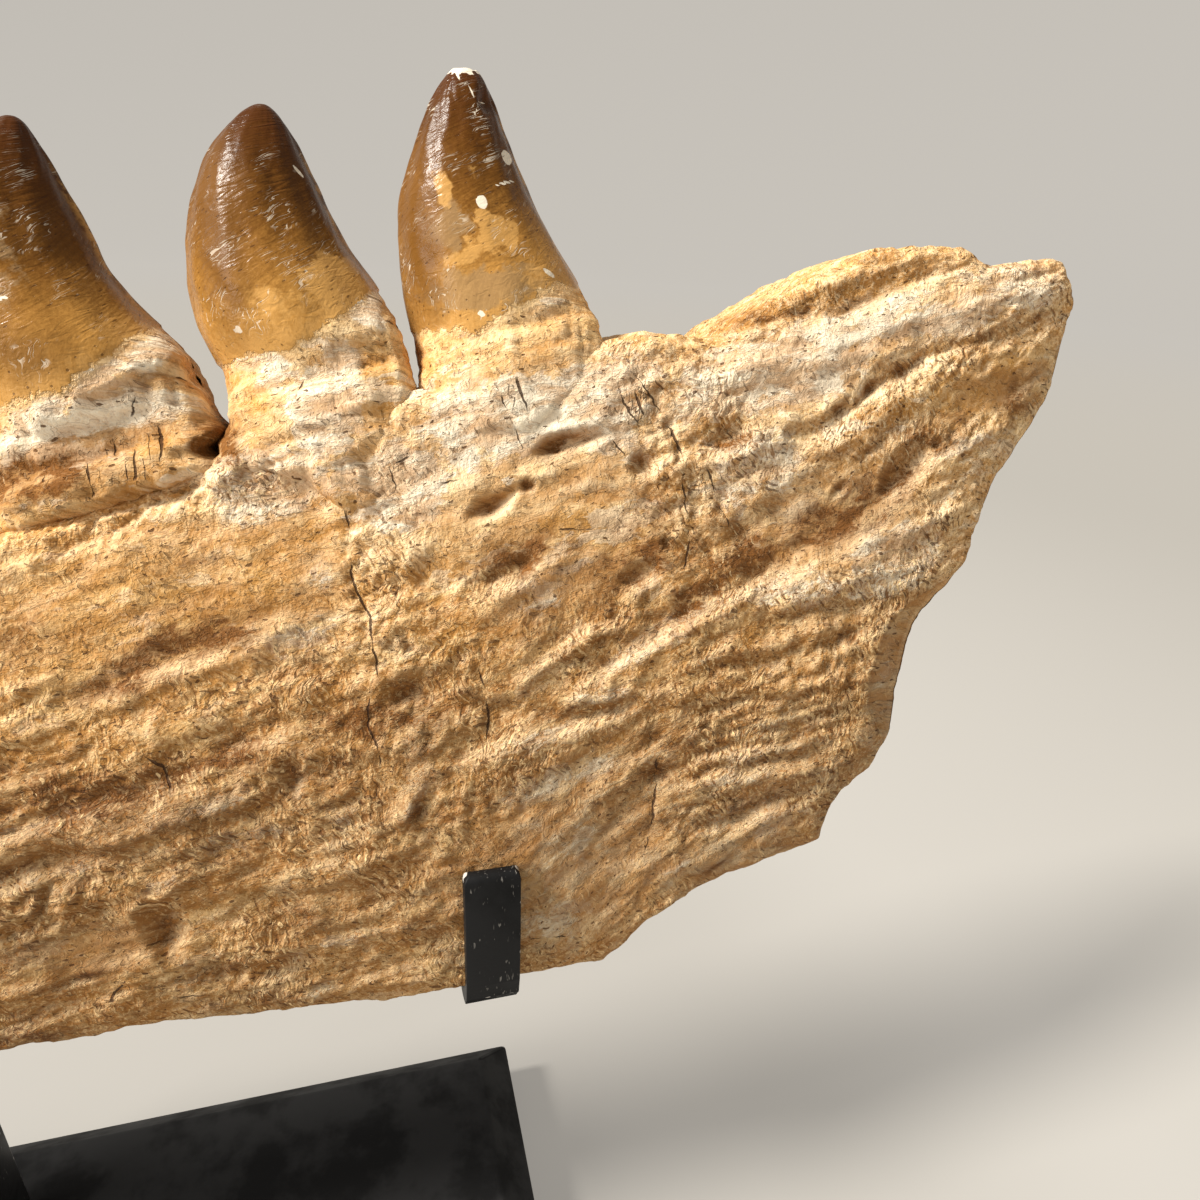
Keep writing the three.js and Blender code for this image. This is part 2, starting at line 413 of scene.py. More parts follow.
def crack_lines(cracks: tuple[Stroke, ...], x: Grid, v: Grid) -> tuple[Grid, Grid]:
    """Where some cracks run.

    Args:
        cracks: the cracks.
        x, v: the places, in mm.

    Returns:
        1 beside a crack and 0 away from it, and the signed distance in mm from the nearest one.
    """
    beside = np.zeros(x.shape)
    signed = np.full(x.shape, 3.0)
    for crack in cracks:
        low_x, high_x, low_v, high_v = crack.box()
        near = (x > low_x - 1.5) & (x < high_x + 1.5) & (v > low_v - 1.5) & (v < high_v + 1.5)
        if near.any():
            distance, along = crack.nearest(x[near], v[near])
            depth = np.minimum(-crack.rise / 0.45, 1.0) * ease(np.minimum(along, 1.0 - along), 0.0, 0.15)
            beside[near] = np.maximum(beside[near], depth * ease(np.abs(distance), 2.0, 1.2))
            signed[near] = np.where(np.abs(distance) < np.abs(signed[near]), distance, signed[near])
    return beside, signed


def zone_share(zones: tuple[Hollow, ...], x: Grid, v: Grid) -> Grid:
    """1 inside any of some ovals and 0 outside them, with soft edges."""
    total = np.zeros(x.shape)
    for zone in zones:
        total = np.maximum(total, np.exp(-(zone.radius(x, v) ** 4)))
    return total


def stain_all(ovals: tuple[Stain, ...], x: Grid, v: Grid, share: Grid) -> dict[str, Grid]:
    """How strongly each tint stains each place, as a grid for each tint's name."""
    warp = Noise(47)
    bent_x = x + warp.layered(x / 4.0 + 9.0, v / 4.0, 3) * 1.6
    bent_v = v + warp.layered(x / 4.0 + 70.0, v / 4.0 + 30.0, 3) * 1.1
    result = {tint.value: np.zeros(x.shape) for tint in Tint}
    for stain in ovals:
        shape = Hollow(stain.centre, stain.length, stain.width, stain.turn, 1.0)
        small = min(1.0, min(stain.length, stain.width) / 6.0)
        radius = shape.radius(x + (bent_x - x) * small, v + (bent_v - v) * small)
        strength = stain.strength * np.exp(-(radius**2.4) * 0.9)
        result[stain.tint.value] = np.maximum(result[stain.tint.value], strength)
    return {name: np.clip(grid * share, 0.0, 1.5) for name, grid in result.items()}


# Ridges and grooves, from the lower front of the piece to its upper rear.
RIDGES = strokes(
    (((69.6, 100), (71.6, 104), (72.8, 109)), 1.8, 4.5, 5, 0.3),
    (((-40, 24), (0, 36), (36, 47.5), (52, 51.5), (63, 54.4), (74, 58.6), (88, 64)), 1.3, 1, 5, 0.12),
    (((44, 45), (51, 47.6), (60, 48.8), (68, 50.8), (76, 52)), 0.9, 1, 3.2),
    (((-30, 24), (10, 33), (30, 38.3), (40, 41.2), (52, 42.8)), 1.5, 1.2, 4.5),
    (((34, 49.8), (44, 53.3), (50, 53.6)), 0.7, 1, 1.6),
    (((50, 31), (54, 35), (57.5, 37.4), (61.5, 39.8), (66, 41.5)), 1.3, 3.5, 1.1),
    (((93.8, 41.5), (95, 45), (96.8, 48), (100.5, 49.6)), 1.3, 2.2, 0.9),
    (((82, 33), (90, 37), (98, 40.5)), 0.7, 1.2, 2.4),
    (((104, 51.5), (109.5, 53.2), (114.3, 54.6), (120, 55.9), (129, 57.2), (137, 58.5)),
     1.3, 1.1, 4.2, 0.2),
    (((122, 62.9), (130, 62), (137, 61.8), (145, 61.2), (151, 61.8)), 0.9, 0.9, 1.8, 0.2),
    (((124, 61.6), (133, 67.4), (141, 71.4), (150, 75.2), (159, 79.2), (167, 82.2)), 1.5, 1.6, 4.5, 0.16),
    (((114, 67), (118, 68.6), (123, 71), (129, 73.2), (134, 75)), 1.6, 1, 1.6),
    (((162, 81), (172, 84.6), (181.5, 88.6), (188, 92.2), (194, 96)), 0.7, 1.4, 4.5, 0.14),
    (((143, 65.3), (150, 67), (160, 68.2), (169, 69.4), (179, 70.2)), 1, 1.3, 1.6, 0.2),
    (((150, 59.6), (160, 59.5), (168, 58.9), (175, 59.6), (183, 61)), 1, 1, 1.5, 0.2),
    (((146, 55.4), (158, 55.6), (170, 56), (182, 56.8)), 0.55, 0.7, 0.9, 0.2),
    (((144, 52.8), (156, 53.2), (170, 53.6), (182, 54.2)), 0.55, 0.7, 0.9, 0.2),
    (((148, 50.3), (160, 50.8), (172, 51), (184, 51.6)), 0.5, 0.7, 0.9, 0.2),
    (((148, 47.4), (156, 47.6), (164, 47.2), (174, 47.6)), 0.9, 1, 1.3, 0.25),
    (((140, 40.3), (146, 42), (154, 43), (163, 42.8), (172, 42), (180, 41.6)), 1.5, 1.4, 2.4, 0.2),
    (((148, 29.6), (158, 31.8), (167, 33.4), (175, 34.4), (182, 35)), 1.3, 1.3, 2.6, 0.2),
    (((136, 24.5), (143, 28.2), (149, 30.2)), 0.6, 1.2, 2),
    (((110, 80.4), (114, 81.4), (119, 84.2), (124.5, 86.6), (131, 87.2)), 1.1, 1, 2.6),
    (((150, 100.6), (154, 103), (158, 104.8), (163, 105), (168, 104)), 1.2, 2.6, 2.6, 0.25),
    (((168, 101), (174, 103.6), (180, 105.8), (186, 108.4)), 1.1, 1.6, 1),
    (((194, 99), (198, 101.2), (206, 104.4), (216, 107.4)), 1.2, 1.3, 2.6, 0.2),
    (((180, 109.6), (184, 112), (190, 113.8), (200, 118.4), (208, 120), (217, 122)), 1, 1, 2.6, 0.16),
    (((148, 117), (160, 119.6), (171, 121.4), (181, 124), (190, 127.6), (202, 130), (216, 131.6)),
     1.5, 4, 7, 0.2),
    (((171, 124.4), (177, 125.6), (181, 127), (186, 129.2), (190, 131)), 0.8, 0.8, 2.6, 0.2),
    (((160, 130), (168, 131.8), (176, 132.6), (184, 134.2), (192, 136)), 0.9, 1.4, 0.8, 0.2),
    (((176, 100), (180, 101.3), (185, 102)), 0.7, 0.9, 0.9),
    (((39, 71.2), (44, 73), (48.5, 74.8)), 0.6, 0.9, 1.6),
    (((57, 71), (62, 72.6), (72, 74.2), (80.3, 78), (87, 81.2)), 0.8, 1, 2.4, 0.2),
    (((168, 79), (178, 79.4), (190, 80.5), (204, 82.5)), 0.5, 1.6, 2.2, 0.2),
    (((186, 86.6), (194, 89), (204, 92.4)), 0.7, 1, 1.8, 0.2),
    (((62, 20.5), (75, 21), (88, 21.4), (100, 22)), 0.9, 1.3, 3.4, 0.25),
    (((30, 19), (40, 21.4), (52, 23.6), (60, 24)), 0.7, 1.2, 2.6, 0.25),
    (((62, 8), (78, 9.4), (92, 9.6), (104, 8)), 0.6, 1.6, 3, 0.25),
    (((118, 33), (126, 40), (133, 46), (140, 50.5)), 0.6, 1.6, 1.6, 0.25),
    (((76, 33), (82, 28), (90, 25), (98, 24.4)), 0.5, 1.6, 1.6),
    (((-60, 14), (-20, 20), (14, 26)), 1.2, 1.6, 5, 0.25),
    (((-100, 40), (-60, 47), (-20, 56), (10, 63), (30, 66)), 1.2, 1.8, 5, 0.2),
    (((-110, 22), (-70, 32), (-40, 38), (-5, 48), (20, 53)), 1.3, 1.6, 5, 0.2),
)
GROOVES = strokes(
    (((30, 50), (44, 53.6), (56, 55), (66, 57.4), (78, 62)), -1.3, 6, 1.4, 0.2),
    (((30, 42.5), (36, 43.6), (43, 45), (50, 46)), -1.5, 2.2, 1.7, 0.25),
    (((44, 50.6), (52, 50.2), (60, 51.4)), -0.6, 1.1, 0.9),
    (((38, 33), (39.5, 36), (41.5, 40)), -0.9, 0.9, 0.9),
    (((81, 46.8), (84.6, 48.4), (90, 49.8)), -0.9, 1.2, 1),
    (((96.3, 42.5), (97.8, 45.6), (101, 47.6)), -1, 0.9, 1.5),
    (((93, 67), (97, 66), (102, 64.6), (110, 63), (119, 61), (127, 59.8), (137, 61)), -1.5, 2.4, 1.5, 0.15),
    (((116, 70.4), (123, 73.4), (131, 76.6), (137, 79.5)), -1.4, 3.2, 1.5),
    (((126, 66), (133, 69.8), (141, 74), (150, 78), (159, 82), (167, 85)), -1.5, 4.5, 0.8, 0.16),
    (((156, 80.6), (165, 84.6), (172, 87), (181.5, 91), (188, 94.6)), -1.3, 8, 0.7, 0.16),
    (((109, 82.8), (115, 84.8), (121, 87.4)), -1.2, 2.2, 1.1),
    (((148, 70.2), (156, 71.9), (165, 73.4), (177, 74.2), (190, 74.3), (199, 75.4)), -1.2, 1.6, 1.4, 0.14),
    (((150, 64.4), (158, 65.4), (166, 66.4), (178, 67.7), (184, 69)), -1.2, 1.5, 1.2, 0.18),
    (((146, 57.4), (158, 57.6), (170, 57.4), (181, 58.4)), -1, 0.9, 0.9, 0.16),
    (((143, 54.2), (156, 54.5), (170, 54.9), (182, 55.6)), -0.7, 0.7, 0.7, 0.18),
    (((146, 51.6), (160, 52.1), (172, 52.4), (184, 53)), -0.7, 0.7, 0.7, 0.18),
    (((146, 49), (160, 49.2), (172, 49.4), (184, 50)), -0.8, 0.8, 0.8, 0.18),
    (((143, 44.8), (150, 45.4), (160, 45.3), (170, 45), (181, 44.6)), -0.9, 1.1, 0.9, 0.2),
    (((148, 33), (156, 35), (165, 36.8), (176, 38)), -1.5, 2.2, 1.5, 0.2),
    (((150, 19), (154, 22), (158.5, 26)), -1, 1.1, 1.4),
    (((126, 27), (131, 34), (136, 40)), -0.5, 1.2, 1.2),
    (((163.5, 106.4), (168.5, 106.6), (171.5, 107.6), (174, 109.4), (178, 111.6)), -1.8, 1, 1.5, 0.14),
    (((173.5, 109), (178, 111.4), (181.3, 114), (185.3, 116.2), (189, 117.4), (193, 118.8), (197, 120)),
     -1.7, 1.1, 1, 0.14),
    (((194, 119), (200.5, 121.3), (204, 122.5), (212, 123.6), (217, 125), (224, 127.8)),
     -1.3, 1.3, 0.9, 0.16),
    (((149, 122.6), (154, 124.5), (162, 126.2), (172, 127)), -1.6, 1.4, 1, 0.14),
    (((174.5, 99.6), (180, 101.6), (183, 103), (186, 105), (189, 107.2)), -1.4, 1.2, 1.4, 0.25),
    (((148, 103), (153, 106), (158, 107)), -1.8, 2.2, 1.6),
    (((196, 109), (204, 111), (214, 114), (222, 116)), -1, 3.6, 2.6, 0.2),
    (((190, 84), (200, 86.4), (208, 88.6)), -0.7, 1.6, 1.1),
    (((172, 133.6), (176, 134.4), (181, 135.4)), -0.6, 0.8, 0.6),
    (((46, 70), (52, 71), (57, 73.2), (64, 75.8), (72, 76.6)), -0.9, 2.4, 1.3, 0.2),
    (((88, 34), (94, 33.6), (101, 35)), -0.6, 1.6, 1.6),
    (((36, 19.4), (43, 21), (50, 21.4)), -0.7, 1, 0.8),
    (((56, 18), (64, 17.4), (72, 15.4)), -0.8, 1.6, 1.4),
    (((-60, 34), (-20, 43), (10, 51), (30, 56)), -1.4, 4, 2.2, 0.2),
    (((-90, 22), (-50, 27), (-10, 35), (24, 41.5)), -1.3, 3.4, 2, 0.2),
)
# Cracks and seams, which are narrow and dark.
CRACKS = strokes(
    (((89.4, 97), (90.4, 92.8), (90, 90.3), (90.3, 86.6), (90.8, 82.5), (92.3, 78.5), (92.6, 74),
      (93.4, 67)), -0.6, 0.6, 0.5, 0.12),
    (((91.5, 67), (91, 61), (92.6, 54), (91.4, 47)), -0.5, 0.7, 0.6),
    (((134.5, 119), (138, 114.5), (142, 109.5), (144.5, 104.5), (146.5, 101), (148.6, 97)), -0.7, 0.5, 0.5),
    (((149.5, 101), (151, 98), (152, 95), (154.4, 91), (156, 86)), -1, 0.8, 0.8),
    (((145.4, 99), (146.8, 92), (146.2, 86), (145, 80)), -0.45, 0.5, 0.5),
    (((138.6, 56), (140.6, 51), (141.4, 44), (140.4, 36), (139, 28)), -0.6, 0.7, 0.6),
    (((117, 116), (119, 110), (119, 106)), -0.4, 0.35, 0.35),
    (((114.7, 113), (118, 104)), -0.35, 0.35, 0.35),
    (((133.7, 114), (137.3, 108), (138, 104)), -0.45, 0.4, 0.4),
    (((137, 113), (138, 110)), -0.4, 0.35, 0.35),
    (((131.7, 107), (133.4, 105), (135.5, 102.5)), -0.45, 0.35, 0.35),
    (((103.7, 99.3), (107.3, 99.9)), -0.45, 0.4, 0.4),
    (((95, 102), (100, 103.6)), -0.5, 0.5, 0.4),
    (((123.5, 91), (131.7, 91.2)), -0.3, 0.3, 0.3),
    (((46.5, 15), (47.6, 17), (48.9, 19)), -0.6, 0.5, 0.7),
    (((50.2, 17), (51.6, 14.4), (55, 12.7), (61, 12.6)), -0.4, 0.4, 0.4),
    (((116, 13), (121, 12.3), (128, 11)), -0.45, 0.5, 0.4),
    (((55.5, 98.5), (55, 103), (56, 107)), -0.3, 0.3, 0.3),
    (((61, 101), (61.6, 106)), -0.3, 0.3, 0.3),
    (((96.5, 103), (97.6, 99), (96.8, 96)), -0.35, 0.35, 0.35),
    (((196, 124.6), (198, 121.6)), -0.35, 0.3, 0.3),
    (((175.6, 119.6), (177.4, 116.4)), -0.35, 0.3, 0.3),
    (((109, 70), (110.4, 62), (109.8, 55)), -0.3, 0.6, 0.6),
    (((57, 60), (60, 57.4), (61, 53)), -0.3, 0.5, 0.5),
)
# The sockets' margins: the bone is let in above each path, where the tooth's root lies over it.
ROOT_BEDS = strokes(
    (((74, 104.5), (77, 102.6), (80.3, 101.8), (83.5, 100.3), (87.5, 97.2), (89.8, 95)),
     -1.2, 5, 0.8, 0.25),
    (((40, 98), (46, 98.6), (53.5, 98.2), (60.3, 100), (65, 100.4), (70, 103)), -1.5, 5, 0.6, 0.05),
    (((48, 91), (53.5, 93.4), (57, 94.6), (61.5, 97.2), (66, 98)), -0.8, 1, 0.9, 0.2),
)
PITS = hollows(
    (125.8, 105.2, 11, 3, 13, 1.9, 0.25), (123.4, 104.6, 5, 2.8, 10, 1.2),
    (112.2, 95.4, 6.6, 3, 24, 1.9, 0.25), (118.7, 98.5, 2.6, 2.2, 0, 1.5, 0.1),
    (115.6, 97.4, 4.4, 1.7, 28, 0.9), (138.5, 101.3, 4.6, 3.8, 20, 2.1, 0.25),
    (142.1, 88, 1.6, 2.2, 30, 1.8), (137.5, 82.6, 7, 4.2, 20, 1.5, 0.2), (105.3, 114.5, 3, 1.8, 40, 0.7),
    (93.6, 103.6, 4.6, 4.6, 55, 0.7), (190.7, 98.6, 10.5, 6.6, 38, 3.3, 0.35), (187, 95.4, 4.6, 3, 30, 1.2),
    (176.5, 95.7, 4.2, 1.9, 32, 1.2, 0.2), (175.6, 110.1, 2.4, 1.7, 20, 1.8),
    (181.4, 113.6, 2, 1.4, 20, 1.3), (188, 116.6, 3.6, 1.7, 15, 1.2), (181, 129.8, 32, 6.4, 15, 2),
    (192.6, 134, 5, 3.4, 20, 0.8), (206.6, 117.8, 3.4, 2.4, 35, 0.7), (154.2, 106, 9, 5, 18, 1.2),
    (156.6, 88, 6, 7, 80, 1.2), (180.6, 68, 5, 2.4, 10, 1.4), (180.4, 58, 4.6, 1.8, 5, 1.1),
    (141.6, 45, 3.6, 5.4, 80, 1), (141, 52.6, 2, 4, 80, 0.8), (144.6, 28, 1.8, 1, 10, 0.6, 0.15),
    (147.6, 30.6, 1.8, 1.6, 0, 0.7, 0.2), (56.4, 29.6, 5.6, 13.5, 6, 1.3, 0.15),
    (56.2, 25.4, 3.2, 5, 0, 1.1), (78.8, 54, 4.2, 6.4, 10, 1.3), (74, 16.6, 8, 4.6, 22, 1),
    (71, 105, 2.6, 2, 30, 1.4), (79.8, 103.4, 2, 1.4, -40, 0.7), (83.4, 100.8, 1.8, 1.2, -30, 0.6),
    (98, 66, 7, 5, 15, 1), (172, 108.2, 4, 1.6, 20, 0.8),
)
ROOT_CRACKS = strokes(
    (((58, 100.5), (58.6, 104), (58, 108)), -0.5, 0.35, 0.35),
    (((64, 102), (65, 106), (64.4, 109)), -0.5, 0.35, 0.35),
    (((61, 110), (62, 113)), -0.4, 0.3, 0.3),
    (((80, 111), (84, 113), (86.6, 117)), -0.3, 0.3, 0.3),
    (((49, 101), (49.6, 105)), -0.4, 0.35, 0.35),
)
ROOT_MARKS = ROOT_CRACKS + hollows(
    (52, 111, 2.6, 1.8, 10, 0.7), (70.6, 105.6, 4, 3.4, 30, 1.5), (67, 104.6, 2.6, 1.8, 10, 0.9),
) + strokes(
    (((42, 108.6), (50, 108), (58, 109.6), (66, 112)), -0.8, 1.2, 1.4, 0.2),
    (((42, 111.6), (50, 112), (58, 115), (64, 119)), 0.7, 1.6, 1.4, 0.2),
    (((60, 116), (66, 116.6), (71, 114)), -0.7, 1.6, 1.6),
    (((88, 121), (93, 117), (96, 110)), 0.6, 2.4, 2.4),
    (((76, 110), (80, 108), (83, 104)), -0.6, 1.2, 1.2),
)
ROOT_STAINS = (
    *stains(
        Tint.PALE,
        (60, 111, 22, 8, 12, 0.9), (89, 106, 12, 8, 0, 0.8), (91, 118, 8, 9, 0, 0.8),
        (57.5, 115.6, 9, 4, 30), (65.4, 119.8, 10, 5, 36, 1.3), (78.6, 117.6, 8, 4, 6, 1.1),
        (95, 126, 6, 6, 40, 1.2), (124, 127, 7, 4, 30, 0.6), (110, 120, 16, 6, 10, 0.5),
        (87.6, 111, 9, 11, 0, 2.2), (82, 116, 9, 4, 10, 0.7),
    ),
    *stains(
        Tint.BROWN,
        (65, 115, 9, 3, 20, 0.4), (70.6, 105.4, 4, 4, 30, 1.4), (75, 110, 2, 8, 10, 0.6),
        (62, 107, 9, 4.6, 10, 0.45), (47.4, 112.8, 8, 5, 0, 0.3),
    ),
    *stains(
        Tint.ORANGE,
        (74, 117.4, 5, 8, 0), (102.5, 118, 6, 9, 0, 0.9), (96.4, 115, 4, 14, 10, 0.9),
        (56, 107, 22, 3, 6, 0.6), (79, 112.2, 6, 5, 0, 0.7),
    ),
    *stains(
        Tint.GREY,
        (63, 104.4, 14, 6, 10, 0.35), (94.6, 124.4, 3, 5, 20, 0.9), (93, 102.6, 4, 5, 0, 0.9),
    ),
)
PANEL = Hollow((172.5, 91.4), 33, 14.5, 17, 1.5)
# Where the face is smooth, and where it is broken up.
CALM_ZONES = hollows(
    (66, 84, 62, 28, 14), (120, 98, 46, 34, 0), (128, 84, 34, 14, 24), (120, 111, 34, 14, 10),
    (167, 113.5, 30, 9, 8), (184, 124, 56, 12, 14), (176, 91, 40, 18, 17), (210, 113, 34, 14, 14),
    (124, 28, 44, 34, 0), (150, 24, 34, 12, 14), (46, 27, 18, 14, 10), (124, 47, 26, 10, 20),
)
ROUGH_ZONES = hollows(
    (95, 72, 12, 44, 5), (151, 107, 16, 9, 15), (58, 97, 44, 6, 8), (144, 101, 9, 36, 20),
    (107, 46, 34, 14, 15), (64, 19, 18, 9, 10), (172, 63, 26, 10, 4), (154, 35, 26, 10, 8),
    (128, 70, 16, 6, 20), (100, 58, 20, 10, 0), (40, 35, 24, 12, 12), (70, 51, 34, 5, 12),
    (200, 104, 24, 6, 20), (198, 118, 18, 4, 14),
)
# The smooth slope along the torn edge: (v, its width).
TEAR_FACET = (
    (14, 4), (24, 5), (34, 2), (42, 2), (46, 6), (52, 11), (60, 12), (70, 11), (74, 7), (80, 3), (100, 3),
    (110, 1.5), (125, 0.8),
)

